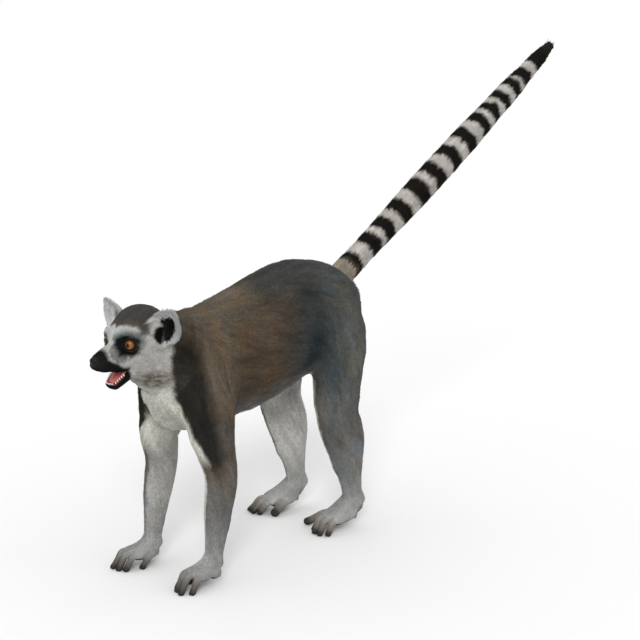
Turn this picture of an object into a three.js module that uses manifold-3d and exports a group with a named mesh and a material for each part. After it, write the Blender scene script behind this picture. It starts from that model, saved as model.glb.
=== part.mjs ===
// A ring-tailed lemur standing on all fours, its tail held up behind it and its mouth open, at life size.
// Units are millimetres. +Z is up, the nose points to -Y, and the animal's left side is +X.
// Every limb is a tube of oval sections along a smooth spine. The head is a blend of rounded masses.
// Parts of the body are parted by thin cuts, and each is a closed solid with its own name.
import * as THREE from "three";
import { mergeVertices } from "three/addons/utils/BufferGeometryUtils.js";
import Module from "manifold-3d";

const wasm = await Module();
wasm.setup();

// ---- Driving dimensions ----
const CUT = 0.4; // width of the thin cuts between neighbouring parts
const STANCE = 48; // each foot's distance from the middle of the body
const STRIDE = 7; // how much further back the right hind leg stands than the left
const STRIDE_TOP = 215; // the height under which that leg begins to lean back
const STRIDE_FADE = 75; // the height over which it does so
const EYE_RADIUS = 6.6;
const LID_RADIUS = 5.9; // of the opening between an eye's lids
const LID_REACH = 5.6; // how far that opening's centre is ahead of the eye's
const SNOUT_LENGTH = 38; // from between the eyes to the tip of the nose
const EAR_RADIUS = 19.6;
const TOOTH_HEIGHT = 2.6;
const TEETH_PER_SIDE = 5;
const TAIL_LENGTH = 592;
const TAIL_RISE = THREE.MathUtils.degToRad(27.7); // the tail's slope above level
const TAIL_YAW = THREE.MathUtils.degToRad(3.3); // towards the right side
const TAIL_ROOT = [1, 112, 297.5];
const FINGER_RADIUS = 4.3;
const TOE_RADIUS = 4.5;
const WRIST = 26; // height of the cut between forearm and hand
const ANKLE = 34; // height of the cut between shank and foot
const FLOOR = 1.5; // the floor's height above the plan's zero
const FLOOR_BITE = 0.7; // how far the pads of the digits reach under the floor before they are cut flat

// The head stands on its own frame, between the eyes. It looks ahead and a little down.
const HEAD_PLACE = new THREE.Vector3(-7, -237, 273);
const HEAD_TURN = new THREE.Euler(0.044, 0.026, 0.045, "ZXY");
const HEAD_MATRIX = new THREE.Matrix4()
  .makeRotationFromEuler(HEAD_TURN)
  .setPosition(HEAD_PLACE);
const EYE_AT = [15.3, 4.6, 0.5]; // the left eye's centre in the head's frame
const EYE_WAY = [0.6, -0.8, 0.05]; // where the left eye looks
const NOSE_PAD = [[0, -SNOUT_LENGTH + 3.6, -13.2], [4.8, 4.2, 4.4]];
const NAPE = [[0, 42, -12], [0, -0.876, 0.484]]; // the plane where the head ends, in its own frame
const NECK_BASE = [[0, -166, 238], [0, -0.95, 0.32]]; // the plane where the trunk ends

// ---- Colours ----
const COAT = {
  back: [0x6b5f54, 0.9],
  grey: [0x6f6f6d, 0.9],
  pale: [0xc9c8c2, 0.9],
  white: [0xdcdcd6, 0.9],
  black: [0x1d1b1a, 0.6],
  tongue: [0xb8606a, 0.4],
  eye: [0xc9740e, 0.1],
};

// ---- Solids ----
function toSolid(geometry) {
  const bare = geometry.clone();
  bare.deleteAttribute("normal");
  bare.deleteAttribute("uv");
  const merged = mergeVertices(bare, 1e-4);
  return new wasm.Manifold(
    new wasm.Mesh({
      numProp: 3,
      vertProperties: new Float32Array(merged.attributes.position.array),
      triVerts: new Uint32Array(merged.index.array),
    }),
  );
}

function toGeometry(solid) {
  const mesh = solid.getMesh();
  return new THREE.BufferGeometry()
    .setAttribute(
      "position",
      new THREE.BufferAttribute(mesh.vertProperties, mesh.numProp),
    )
    .setIndex(new THREE.BufferAttribute(mesh.triVerts, 1));
}

const union = (...solids) => solids.reduce((a, b) => a.add(b));

// An oval ball at a place, its radii along x, y and z.
function ball(place, radii, wide, high) {
  const skin = new THREE.SphereGeometry(1, wide, high).scale(...radii).translate(...place);
  return toSolid(skin);
}
const round = (place, radius, wide, high) => ball(place, [radius, radius, radius], wide, high);

// Everything on the side of a plane that its normal points to.
const REACH = 2000;
function halfSpace(point, normal) {
  const n = new THREE.Vector3(...normal).normalize();
  const matrix = new THREE.Matrix4().compose(
    new THREE.Vector3(...point).addScaledVector(n, REACH / 2),
    new THREE.Quaternion().setFromUnitVectors(new THREE.Vector3(0, 0, 1), n),
    new THREE.Vector3(1, 1, 1),
  );
  return toSolid(new THREE.BoxGeometry(REACH, REACH, REACH).applyMatrix4(matrix));
}

// Cuts a solid in two at a plane, and leaves a thin gap between the halves: [behind, ahead].
function part(solid, point, normal) {
  const n = new THREE.Vector3(...normal).normalize();
  const at = (shift) => new THREE.Vector3(...point).addScaledVector(n, shift).toArray();
  const back = n.clone().negate().toArray();
  return [
    solid.intersect(halfSpace(at(-CUT / 2), back)),
    solid.intersect(halfSpace(at(CUT / 2), n.toArray())),
  ];
}

// The rings of a closed skin, joined ring to ring, with one point closing each end.
function closedRings(rings, first, last) {
  const sides = rings[0].length;
  const points = [...rings.flat(), first, last];
  const foot = points.length - 2;
  const head = points.length - 1;
  const index = [];
  for (let j = 0; j < sides; j++) {
    const k = (j + 1) % sides;
    for (let i = 0; i + 1 < rings.length; i++) {
      const [a, b, c, d] = [i * sides + j, i * sides + k, (i + 1) * sides + k, (i + 1) * sides + j];
      index.push(a, b, c, a, c, d);
    }
    const top = (rings.length - 1) * sides;
    index.push(foot, k, j, head, top + j, top + k);
  }
  return new THREE.BufferGeometry().setFromPoints(points).setIndex(index);
}

// A spine through stations [x, y, z, half width, half depth]. At each share t of its length it has a place,
// a size and a frame.
function spineOf(stations) {
  const line = new THREE.CatmullRomCurve3(
    stations.map(([x, y, z]) => new THREE.Vector3(x, y, z)),
    false,
    "catmullrom",
    0.5,
  );
  const size = new THREE.CatmullRomCurve3(
    stations.map(([, , , across, deep]) => new THREE.Vector3(across, deep, 0)),
    false,
    "catmullrom",
    0.5,
  );
  return (t, sideways = new THREE.Vector3(1, 0, 0)) => {
    const along = line.getTangent(t).normalize();
    const side = sideways.clone().addScaledVector(along, -sideways.dot(along)).normalize();
    const front = new THREE.Vector3().crossVectors(along, side);
    const { x: across, y: deep } = size.getPoint(t);
    return { place: line.getPoint(t), along, side, front, across, deep };
  };
}

// A tube of oval sections through the stations, with rounded ends. grow fattens it all round.
function tube(stations, { sides = 16, steps = 3, grow = 0, sideways, caps = [0.7, 0.7], corner = 1 } = {}) {
  const spine = spineOf(stations);
  const spans = (stations.length - 1) * steps;
  const turn = (2 * Math.PI) / sides;
  const fill = Math.sqrt(turn / Math.sin(turn)); // makes the polygon's area the oval's
  const full = (v) => Math.sign(v) * Math.abs(v) ** corner;
  const ringAt = ({ place, side, front, across, deep }, share, shift) =>
    Array.from({ length: sides }, (_, j) => {
      const angle = turn * j;
      return place
        .clone()
        .add(shift)
        .addScaledVector(side, share * (across * fill + grow) * full(Math.cos(angle)))
        .addScaledVector(front, share * (deep * fill + grow) * full(Math.sin(angle)));
    });
  const capSteps = sides > 12 ? [0.4, 0.75, 0.94] : sides > 8 ? [0.5, 0.87] : [0.6];
  const cap = (station, size, sign) => {
    const height = Math.min(station.across, station.deep) * size + grow;
    const shiftOf = (rise) => station.along.clone().multiplyScalar(sign * rise * height);
    return {
      rings: capSteps.map((rise) => ringAt(station, Math.sqrt(1 - rise * rise), shiftOf(rise))),
      tip: station.place.clone().add(shiftOf(1)),
    };
  };
  const body = Array.from({ length: spans + 1 }, (_, i) =>
    ringAt(spine(i / spans, sideways), 1, new THREE.Vector3()),
  );
  const start = cap(spine(0, sideways), caps[0], -1);
  const end = cap(spine(1, sideways), caps[1], 1);
  const rings = [...start.rings.reverse(), ...body, ...end.rings];
  return toSolid(closedRings(rings, start.tip, end.tip));
}

// ---- Trunk and neck: one spine from the rump to the back of the head ----
const TRUNK = [
  [0, 108, 264, 37, 40],
  [0, 92, 263, 44, 50.5],
  [0, 70, 262, 50, 60],
  [0, 45, 260.5, 54, 66],
  [0, 20, 258, 56, 69.5],
  [0, -10, 251.5, 57, 74.5],
  [0, -40, 244, 56, 75.5],
  [0, -70, 237.5, 53, 73.5],
  [0, -98, 232.5, 49.5, 71],
  [0, -124, 230.5, 45.5, 66.5],
  [0, -150, 232, 41, 59],
  [-1, -175, 244.5, 37, 46.5],
  [-4, -194, 260, 34.5, 36],
  [-6, -208, 272, 32, 29],
];
const trunkTube = (grow) => tube(TRUNK, { sides: 16, steps: 2, grow });

// ---- Legs: the left one's stations, from the body down. side is 1 for left and -1 for right. ----
const FORELEG = [
  [22, -138, 256, 14, 30],
  [30, -143, 234, 19, 35],
  [35.5, -146.5, 212, 20.5, 33.5],
  [37.5, -147.5, 190, 22, 31],
  [38.8, -147.5, 174, 22, 29],
  [41, -147.5, 161, 20, 28],
  [43.4, -147, 149, 18, 25.2],
  [44.6, -144.5, 137, 16, 23.5],
  [46, -142.5, 125, 15.1, 22.2],
  [46.6, -142.5, 114, 14.5, 21.4],
  [47.3, -144, 103, 14, 21],
  [47.6, -148.6, 81, 12.5, 19],
  [STANCE, -152, 60, 10.8, 15.8],
  [STANCE, -156, 38, 9.2, 12],
  [STANCE, -158.5, 25, 10.5, 11.6],
];
const HINDLEG = [
  [25, 74, 285, 20, 30],
  [35, 66, 256, 24, 45],
  [41, 60, 230, 26, 46],
  [45, 56, 207, 25, 41],
  [46.5, 53.5, 182, 23.2, 36],
  [47.5, 52, 165, 22, 34.5],
  [STANCE, 52.6, 151, 20.4, 32.4],
  [STANCE, 55.4, 138, 19.2, 31.6],
  [STANCE, 61, 125, 18.2, 31.6],
  [STANCE, 66.5, 112, 17.2, 31],
  [STANCE, 69.6, 99, 15.9, 28.6],
  [STANCE, 72, 86, 14.4, 25.6],
  [STANCE, 75.5, 72, 12.4, 20.5],
  [STANCE, 77.8, 59, 11, 17],
  [STANCE, 79.8, 46, 10.6, 15],
  [STANCE, 83, 32, 11.6, 17],
];
// A leg's stations on one side of the body, its lower part moved back by the stride.
const mirrored = (stations, side, shift = 0) =>
  stations.map(([x, y, z, across, deep]) => {
    const share = THREE.MathUtils.clamp((STRIDE_TOP - z) / STRIDE_FADE, 0, 1);
    return [side * x, y + shift * share, z, across, deep];
  });
const legTube = (stations, grow = 0) => tube(stations, { sides: 10, steps: 1, grow, caps: [0.8, 0.5] });

// ---- Hands and feet, each in its own frame: x away from the body's middle, y back, z up ----
const HAND_PALM = [
  [0, -1, 27, 10, 9.5],
  [0, -7, 20.5, 11.8, 10.6],
  [0.5, -16, 16.6, 13.4, 9.8],
  [1.5, -26, 16, 14, 7.6],
];
const HEEL_OF_HAND = [[1.5, -2.5, 14], [10, 8, 8.4]];
// Each finger: where it leaves the palm, its knuckle, and the place of its tip on the floor.
const FINGERS = [
  { name: "thumb", root: [-9, -7, 13], knuckle: [-12.5, -15, 12], tip: [-13, -24, 2.5] },
  { name: "index", root: [-7.5, -22, 16.5], knuckle: [-8.5, -33, 15.5], tip: [-8, -42, 2.5] },
  { name: "middle", root: [-2, -24, 17.5], knuckle: [-1.5, -37.5, 18], tip: [-1, -47, 2.5] },
  { name: "ring", root: [4.5, -23, 17.5], knuckle: [6.5, -37.5, 18], tip: [8.5, -48.5, 2.5] },
  { name: "little", root: [10, -19, 15.5], knuckle: [13.5, -30, 15], tip: [15.5, -39, 2.5] },
];
const FOOT_SOLE = [
  [0, -1, 25, 10.5, 10],
  [0, -4, 27, 12, 16],
  [-0.5, -13, 22.6, 14.2, 15],
  [0, -24, 18.6, 15.3, 12],
  [0.5, -36, 15.6, 16.3, 9.2],
];
const TOES = [
  { name: "second", root: [-9, -34, 15.5], knuckle: [-8.5, -48, 14.5], tip: [-6, -58, 3.1] },
  { name: "third", root: [-3.5, -36, 16.5], knuckle: [-2, -52, 16], tip: [2, -63, 3.1] },
  { name: "fourth", root: [3.5, -35, 16.5], knuckle: [6, -51, 16], tip: [11, -62.5, 3.1] },
  { name: "little", root: [9, -31, 15], knuckle: [13, -45, 14], tip: [18, -55, 3.1] },
];
// The great toe stands off from the rest, further on the left foot than on the right.
const GREAT_TOE = {
  left: { root: [-8, -17, 18], knuckle: [-20, -34, 13.5], tip: [-31, -51, 4.4], girth: 1.3 },
  right: { root: [-8, -16, 15], knuckle: [-15.5, -31, 12.5], tip: [-21, -45, 4.8], girth: 1.4 },
};
const SQUARENESS = 0.8; // below 1, a section's corners fill out

// A finger or toe: it rises a little to its knuckle, then bends down to the pad on the floor.
function digit({ root, knuckle, tip, girth = 1 }, radius) {
  const between = (p, q, t) => p.map((v, i) => v + (q[i] - v) * t);
  const r = radius * girth;
  return tube(
    [
      [...between(root, knuckle, -0.1), r, r],
      [...between(root, knuckle, 1), r * 0.95, r * 0.95],
      [...between(knuckle, tip, 0.55), r * 0.85, r * 0.88],
      [...tip, r * 0.8, r * 0.82],
    ],
    { sides: 6, steps: 1, caps: [0.6, 0.75] },
  );
}

const HAND_TURN = { left: THREE.MathUtils.degToRad(-11), right: THREE.MathUtils.degToRad(10) };
const FOOT_TURN = { left: THREE.MathUtils.degToRad(-14), right: THREE.MathUtils.degToRad(19) };
const HAND_PLACE = { left: [STANCE, -157], right: [STANCE, -156] };
const FOOT_PLACE = { left: [STANCE, 88], right: [STANCE + 1, 91.5] };
const aboveFloor = halfSpace([0, 0, FLOOR], [0, 0, 1]);

// Sets a hand or foot down: turned out by an angle, mirrored for the right side, and cut flat at the floor.
function setDown(solid, side, [x, y], turn) {
  const turned = new THREE.Matrix4()
    .makeRotationZ(turn)
    .setPosition(x, y, FLOOR - FLOOR_BITE);
  const flip = new THREE.Matrix4().makeScale(side, 1, 1);
  return solid.transform(flip.multiply(turned).toArray()).intersect(aboveFloor);
}

// ---- Head: a smooth blend of rounded masses in the head's own frame ----
const MASSES = [
  { at: [0, 32, 3], r: [29, 33.5, 31.5] }, // braincase
  { at: [0, 9, 3], r: [14, 17, 17] }, // forehead
  { at: [15.5, 11.5, 0.5], r: [10.5, 11, 12.5], pair: true }, // ring of the eye
  { at: [0, -6, -13], r: [12, 18, 14] }, // root of the snout
  { at: [0, -21, -15.2], r: [9.5, 15.5, 10.6] }, // snout
  { at: [7, -4, -22], r: [7.5, 16, 7.5], pair: true }, // upper lip
  { at: [15, 21, -12], r: [13, 18, 16], pair: true }, // cheek
  { at: [20, 29, -1], r: [10, 15, 15], pair: true }, // side of the head
  { at: [24, 33, 13], r: [8, 8, 10], pair: true }, // foot of the ear
];
const BLEND = 7;
const smoothMin = (a, b, k) => {
  const h = Math.max(k - Math.abs(a - b), 0) / k;
  return Math.min(a, b) - (h * h * k) / 4;
};
function distanceTo({ at, r }, [x, y, z]) {
  const p = [x - at[0], y - at[1], z - at[2]];
  const near = Math.hypot(p[0] / r[0], p[1] / r[1], p[2] / r[2]);
  const slope = Math.hypot(p[0] / r[0] ** 2, p[1] / r[1] ** 2, p[2] / r[2] ** 2);
  return (near * (near - 1)) / Math.max(slope, 1e-9);
}
const headMasses = MASSES.flatMap((mass) =>
  mass.pair ? [mass, { ...mass, at: [-mass.at[0], mass.at[1], mass.at[2]] }] : [mass],
);
const headField = (p) =>
  headMasses.map((mass) => distanceTo(mass, p)).reduce((a, b) => smoothMin(a, b, BLEND));

// Rays out of the head's own axis find its skin, ring by ring, from the nape to the nose.
function headBall(grow = 0) {
  const [rings, sides, far] = [15, 16, 60];
  const axis = (t) => [0, THREE.MathUtils.lerp(40, -30, t), THREE.MathUtils.lerp(0, -13, t)];
  const hit = (from, way) => {
    let [near, out] = [0, far];
    for (let i = 0; i < 30; i++) {
      const mid = (near + out) / 2;
      if (headField(from.map((v, k) => v + way[k] * mid)) < grow) near = mid;
      else out = mid;
    }
    return new THREE.Vector3(...from.map((v, k) => v + way[k] * near));
  };
  const capLeans = [28, 58].map(THREE.MathUtils.degToRad);
  const ring = (from, lean) =>
    Array.from({ length: sides }, (_, j) => {
      const angle = (2 * Math.PI * j) / sides;
      const flat = Math.cos(lean);
      return hit(from, [Math.cos(angle) * flat, Math.sin(lean), Math.sin(angle) * flat]);
    });
  const nape = capLeans.toReversed().map((lean) => ring(axis(0), lean));
  const middle = Array.from({ length: rings + 1 }, (_, i) => ring(axis(i / rings), 0));
  const nose = capLeans.map((lean) => ring(axis(1), -lean));
  const skin = closedRings(
    [...nape, ...middle, ...nose],
    hit(axis(0), [0, 1, 0]),
    hit(axis(1), [0, -1, 0]),
  );
  return toSolid(skin);
}

// The ear: a thin dish that faces forward, round but for a blunt corner at its top and outside.
const EAR_AT = [36.5, 38, 14.5];
const EAR_TURN = [0.12, 0, 0.2]; // about the head's x, y and z
const EAR_CORNER = { angle: THREE.MathUtils.degToRad(58), width: 0.42, rise: 5.5 };
const EAR_DISH = 8; // how deep the hollow is
const EAR_WALL = 3.4;
function ear(side) {
  const sides = 14;
  const place = new THREE.Matrix4()
    .makeRotationFromEuler(new THREE.Euler(EAR_TURN[0], EAR_TURN[1], EAR_TURN[2], "ZXY"))
    .setPosition(...EAR_AT);
  const flip = new THREE.Matrix4().makeScale(side, 1, 1);
  const at = (share, wall, angle = 0) => {
    const off = (angle - EAR_CORNER.angle) / EAR_CORNER.width;
    const radius = EAR_RADIUS + EAR_CORNER.rise * Math.exp(-off * off);
    const depth = EAR_DISH * (1 - share ** 2.5) - EAR_DISH + wall;
    const reach = share * radius;
    return new THREE.Vector3(reach * Math.cos(angle), depth, reach * Math.sin(angle)).applyMatrix4(place);
  };
  const ring = (share, wall) =>
    Array.from({ length: sides }, (_, j) => at(share, wall, (2 * Math.PI * j) / sides - Math.PI / 2));
  const hollow = [0.5, 0.85].map((share) => ring(share, 0));
  const rim = [ring(0.98, 0.3), ring(0.98, EAR_WALL - 0.3)];
  const back = [ring(0.6, EAR_WALL * 1.6)];
  const dish = closedRings([...hollow, ...rim, ...back].reverse(), at(0, EAR_WALL * 1.6), at(0, 0));
  return toSolid(dish).transform(flip.toArray());
}

// The lower jaw hangs open from its hinge under the cheek, with the tongue and teeth in it.
const JAW = [
  [0, 17, -32.5, 13, 8],
  [0, 8, -35.6, 12.4, 7.6],
  [0, -1, -39.6, 11, 6.8],
  [0, -10.5, -44, 8.2, 5.2],
];
const JAW_SLOPE = [-0.39, 0.92]; // the way up from the jaw's middle, in y and z
const LIP = 2.6; // the width of the rim round the mouth's floor
const MOUTH_DEPTH = 5.6;
const raised = (share, narrower, depth) =>
  JAW.map(([x, y, z, across, deep]) => {
    const up = deep * share;
    return [x, y + JAW_SLOPE[0] * up, z + JAW_SLOPE[1] * up, across - narrower, depth];
  });
const MOUTH_FLOOR = raised(0.95, LIP, MOUTH_DEPTH);
const TONGUE = raised(0.22, LIP + 1.4, 2.6);

const inHead = (solid) => solid.transform(HEAD_MATRIX.toArray());

// ---- Tail ----
// The tail's radius at even steps, from its root to its tip.
const TAIL_GIRTH = [
  12.5, 14.2, 15.8, 16.8, 17.8, 18.6, 18.8, 18.4, 18.6, 17.8, 16.4, 15.7, 15, 12.2, 11.2, 6.8,
];
const TAIL_SAG = 1.5; // how far the middle hangs below a straight line
function tailStations() {
  const way = new THREE.Vector3(
    -Math.sin(TAIL_YAW) * Math.cos(TAIL_RISE),
    Math.cos(TAIL_YAW) * Math.cos(TAIL_RISE),
    Math.sin(TAIL_RISE),
  );
  return TAIL_GIRTH.map((girth, i) => {
    const share = i / (TAIL_GIRTH.length - 1);
    const at = new THREE.Vector3(...TAIL_ROOT).addScaledVector(way, share * (TAIL_LENGTH - 6));
    at.z -= TAIL_SAG * Math.sin(Math.PI * share);
    return [at.x, at.y, at.z, girth, girth];
  });
}

// ---- Assembly ----
const animal = new THREE.Group();
function add(name, solid, material) {
  const [color, roughness] = COAT[material];
  const look = new THREE.MeshStandardMaterial({ color, roughness, metalness: 0 });
  const mesh = new THREE.Mesh(toGeometry(solid), look);
  mesh.name = name;
  animal.add(mesh);
}

function buildTail() {
  const stations = tailStations();
  const whole = tube(stations, { sides: 12, steps: 1, caps: [0.5, 0.9] }).subtract(trunkTube(CUT));
  const along = new THREE.Vector3(...stations[8]).sub(new THREE.Vector3(...stations[0]));
  const [root, rest] = part(whole, stations[5].slice(0, 3), along.toArray());
  const [middle, tip] = part(rest, stations[10].slice(0, 3), along.toArray());
  add("tail_root", root, "pale");
  add("tail_middle", middle, "pale");
  add("tail_tip", tip, "black");
}

function buildTrunk() {
  const [rear, front] = part(trunkTube(0), ...NECK_BASE);
  add("trunk", rear, "back");
  return front;
}

// A leg in its three lengths: the upper one leaves the trunk, and the last is a hand or a foot.
function buildLeg([upperName, lowerName, endName], stations, bend, end, cuff) {
  const whole = legTube(stations).subtract(trunkTube(1.6 * CUT));
  const [upper, lower] = part(whole, stations[bend].slice(0, 3), [0, 0.25, -1]);
  add(upperName, upper, "grey");
  add(lowerName, lower.intersect(halfSpace([0, 0, cuff + CUT / 2], [0, 0, 1])), "pale");
  add(endName, end.intersect(halfSpace([0, 0, cuff - CUT / 2], [0, 0, -1])), "grey");
}

function hand(sideName, side) {
  const palm = union(
    tube(HAND_PALM, { sides: 8, steps: 1, corner: SQUARENESS }),
    ball(...HEEL_OF_HAND, 7, 5),
    ...FINGERS.map((finger) => digit(finger, FINGER_RADIUS)),
  );
  return setDown(palm, side, HAND_PLACE[sideName], HAND_TURN[sideName]);
}

function foot(sideName, side) {
  const sole = union(
    tube(FOOT_SOLE, { sides: 8, steps: 1, corner: SQUARENESS }),
    ...[...TOES, GREAT_TOE[sideName]].map((toe) => digit(toe, TOE_RADIUS)),
  );
  return setDown(sole, side, FOOT_PLACE[sideName], FOOT_TURN[sideName]);
}

const SIDES = [["left", 1], ["right", -1]];
for (const [name, side] of SIDES) {
  const fore = mirrored(FORELEG, side);
  const hind = mirrored(HINDLEG, side, side < 0 ? STRIDE : 0);
  buildLeg([`upper_arm_${name}`, `forearm_${name}`, `hand_${name}`], fore, 9, hand(name, side), WRIST);
  buildLeg([`thigh_${name}`, `shank_${name}`, `foot_${name}`], hind, 7, foot(name, side), ANKLE);
}

const neckAndNape = buildTrunk();
buildTail();

const napePoint = new THREE.Vector3(...NAPE[0]).applyMatrix4(HEAD_MATRIX).toArray();
const napeNormal = new THREE.Vector3(...NAPE[1]).transformDirection(HEAD_MATRIX).toArray();
const headGrown = headBall(CUT);
const trunkGrown = trunkTube(CUT);
const [neck, headAndThroat] = part(neckAndNape.add(inHead(headBall())), napePoint, napeNormal);

// Eyes, each a ball in a socket a little wider than itself.
const eye = (side, grow = 0) =>
  round([side * EYE_AT[0], EYE_AT[1], EYE_AT[2]], EYE_RADIUS + grow, 11, 8);
const nosePad = (grow = 0) => ball(NOSE_PAD[0], NOSE_PAD[1].map((r) => r + grow), 9, 6);
const opening = (side) =>
  round(EYE_AT.map((v, i) => (i ? 1 : side) * (v + EYE_WAY[i] * LID_REACH)), LID_RADIUS, 10, 6);
const sockets = union(eye(1, CUT), eye(-1, CUT), opening(1), opening(-1));
const jawTube = (grow) => tube(JAW, { sides: 9, steps: 1, grow });
const tongueTube = (grow) => tube(TONGUE, { sides: 8, steps: 1, grow });
function teeth() {
  const spine = spineOf(raised(0.58, LIP * 0.8, 0));
  const tooth = (side, i) => {
    const { place, side: across, across: width } = spine(0.42 + (0.5 * i) / (TEETH_PER_SIDE - 1));
    const at = place.addScaledVector(across, side * width * (i === TEETH_PER_SIDE - 1 ? 0.72 : 1));
    return ball(at.toArray(), [1.2, 1.3, TOOTH_HEIGHT / 2 + 0.3], 4, 3);
  };
  return union(...Array.from({ length: 2 * TEETH_PER_SIDE }, (_, i) => tooth(i % 2 ? 1 : -1, i >> 1)));
}
const jawWithTeeth = jawTube(0)
  .subtract(tube(MOUTH_FLOOR, { sides: 8, steps: 1 }))
  .add(teeth())
  .subtract(tongueTube(CUT));
const mouth = union(jawTube(CUT), tongueTube(CUT));
add("neck", neck, "white");
add("head", headAndThroat.subtract(inHead(union(sockets, nosePad(CUT), mouth))), "white");
for (const [name, side] of SIDES) {
  add(`eye_${name}`, inHead(eye(side)), "eye");
  add(`ear_${name}`, inHead(ear(side).subtract(headGrown)).subtract(trunkGrown), "white");
}
add("nose", inHead(nosePad()), "black");
add("jaw", inHead(jawWithTeeth.subtract(headGrown)), "black");
add("tongue", inHead(tongueTube(0).subtract(headGrown)), "tongue");

// The origin is on the floor, under the middle of the whole animal.
const span = new THREE.Box3().setFromObject(animal);
const middle = span.getCenter(new THREE.Vector3());
for (const mesh of animal.children) {
  mesh.geometry.translate(-middle.x, -middle.y, -FLOOR);
}

export default animal;
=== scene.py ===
# A life-size ring-tailed lemur on all fours, in metres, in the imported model's own frame.
import math

import bpy
import numpy as np
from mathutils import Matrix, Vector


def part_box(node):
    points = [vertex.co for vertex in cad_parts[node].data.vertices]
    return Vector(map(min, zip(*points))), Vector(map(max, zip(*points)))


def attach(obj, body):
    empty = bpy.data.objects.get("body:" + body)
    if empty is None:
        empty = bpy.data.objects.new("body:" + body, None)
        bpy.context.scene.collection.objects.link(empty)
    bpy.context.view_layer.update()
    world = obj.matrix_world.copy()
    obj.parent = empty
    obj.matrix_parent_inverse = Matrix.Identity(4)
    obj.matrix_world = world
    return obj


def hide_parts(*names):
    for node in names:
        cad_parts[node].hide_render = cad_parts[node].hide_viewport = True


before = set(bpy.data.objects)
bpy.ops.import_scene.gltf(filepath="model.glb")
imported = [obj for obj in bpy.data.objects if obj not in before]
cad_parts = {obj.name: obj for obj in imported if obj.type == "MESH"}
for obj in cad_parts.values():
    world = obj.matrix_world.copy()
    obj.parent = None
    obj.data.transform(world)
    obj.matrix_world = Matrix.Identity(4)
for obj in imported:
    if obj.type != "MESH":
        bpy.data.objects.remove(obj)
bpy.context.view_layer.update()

import openvdb
from mathutils import Matrix, Vector

MM = 0.001
rng = np.random.default_rng(7)

# ---- The body plan, in millimetres: the nose points to -Y, the left side is +X ----
# A station is [x, y, z, half width, half depth]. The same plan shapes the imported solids.
STANCE = 48
STRIDE, STRIDE_TOP, STRIDE_FADE = 7, 215, 75
FLOOR = 1.5
FLOOR_BITE = 0.7
EYE_RADIUS = 6.6
EYE_AT = np.array([15.3, 4.6, 0.5])
EYE_WAY = np.array([0.6, -0.8, 0.05])
NOSE_AT = np.array([0, -34.4, -13.2])
NOSE_SIZE = np.array([4.8, 4.2, 4.4])
EYE_SEEN = EYE_AT + np.array([-0.5, 0, -1.2])  # where the eyeball of the picture sits in its socket
GAZE = np.array([0.30, -0.95, 0.06])
HEAD_PLACE = np.array([-7, -237, 273])
HEAD_TURN = (0.044, 0.026, 0.045)  # about the head's x, y and z

TRUNK = [
    [0, 106, 263.5, 35, 39],
    [0, 92, 264.3, 43, 49],
    [0, 70, 264, 50, 59],
    [0, 45, 261.5, 54, 66.5],
    [0, 20, 258.5, 56, 69.5],
    [0, -10, 251.6, 57, 69.8],
    [0, -40, 242.8, 56, 70.2],
    [0, -70, 236, 53, 70],
    [0, -98, 231.8, 49.5, 67.8],
    [0, -124, 226.2, 45.5, 67.8],
    [0, -150, 234.6, 41, 64.6],
    [-1, -175, 249.6, 37, 49.2],
    [-4, -194, 257.4, 34.5, 39.8],
    [-6, -208, 270, 32, 30.6],
]
FILLS = [  # ovals, as place and radii, that the trunk's bent sections leave hollow
    ((-2.5, -161, 204.5), (27.5, 32, 37.5)),  # the chest between the arms
    ((0, -135, 275), (28, 22, 20)),  # the withers
    ((-4, -164, 269.5), (24, 24, 22)),  # the nape
]
TRUNK_COAT = (2.6, 2.8)
FORELEG = [
    [22, -138, 256, 14, 30],
    [30, -143, 234, 19, 35],
    [35.5, -146.5, 212, 20.5, 33.5],
    [36.2, -147.5, 190, 23.3, 31],
    [37.3, -147.5, 174, 23.5, 29],
    [40, -147.5, 161, 21, 28],
    [43.4, -147, 149, 18, 25.2],
    [44.6, -144.5, 137, 16, 23.5],
    [46, -142.5, 125, 15.1, 22.2],
    [46.6, -142.5, 114, 14.5, 21.4],
    [47.3, -144, 103, 14, 21],
    [47.6, -148.6, 81, 12.5, 19],
    [STANCE, -152, 60, 10.8, 15.8],
    [STANCE, -156, 38, 9.2, 12],
    [STANCE, -158.5, 25, 10.5, 11.6],
]
HINDLEG = [
    [25, 74, 285, 20, 30],
    [35, 66, 256, 24, 45],
    [41, 60, 230, 26, 46],
    [45, 56, 207, 25, 41],
    [46.5, 53.5, 182, 23.2, 36],
    [47.5, 52, 165, 22, 34.5],
    [STANCE, 52.6, 151, 20.4, 32.4],
    [STANCE, 55.4, 138, 19.2, 31.6],
    [STANCE, 61, 125, 18.2, 31.6],
    [STANCE, 66.5, 112, 17.2, 31],
    [STANCE, 69.6, 99, 15.9, 28.6],
    [STANCE, 72, 86, 14.4, 25.6],
    [STANCE, 75.5, 72, 12.4, 20.5],
    [STANCE, 77.8, 59, 11, 17],
    [STANCE, 79.8, 46, 10.6, 15],
    [STANCE, 83, 32, 11.6, 17],
]
TAIL_ROOT = np.array([1, 112, 297.5])
TAIL_LENGTH, TAIL_SAG = 592, 1.5
TAIL_RISE, TAIL_YAW = math.radians(27.7), math.radians(3.3)
TAIL_GIRTH = [17, 15.8, 15.8, 16.8, 17.8, 18.6, 18.8, 18.4, 18.6, 17.8, 16.4, 15.7, 15, 12.2, 11.2, 6.8]
HAND_PALM = [
    [0, -1, 27, 10, 9.5],
    [0, -7, 20.5, 11.8, 10.6],
    [0.5, -16, 16.6, 13.4, 9.8],
    [1.5, -26, 16, 14, 7.6],
]
HEEL_OF_HAND, HEEL_COAT = ([1.5, -2.5, 14], [10, 8, 8.4]), 0.5
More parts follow.
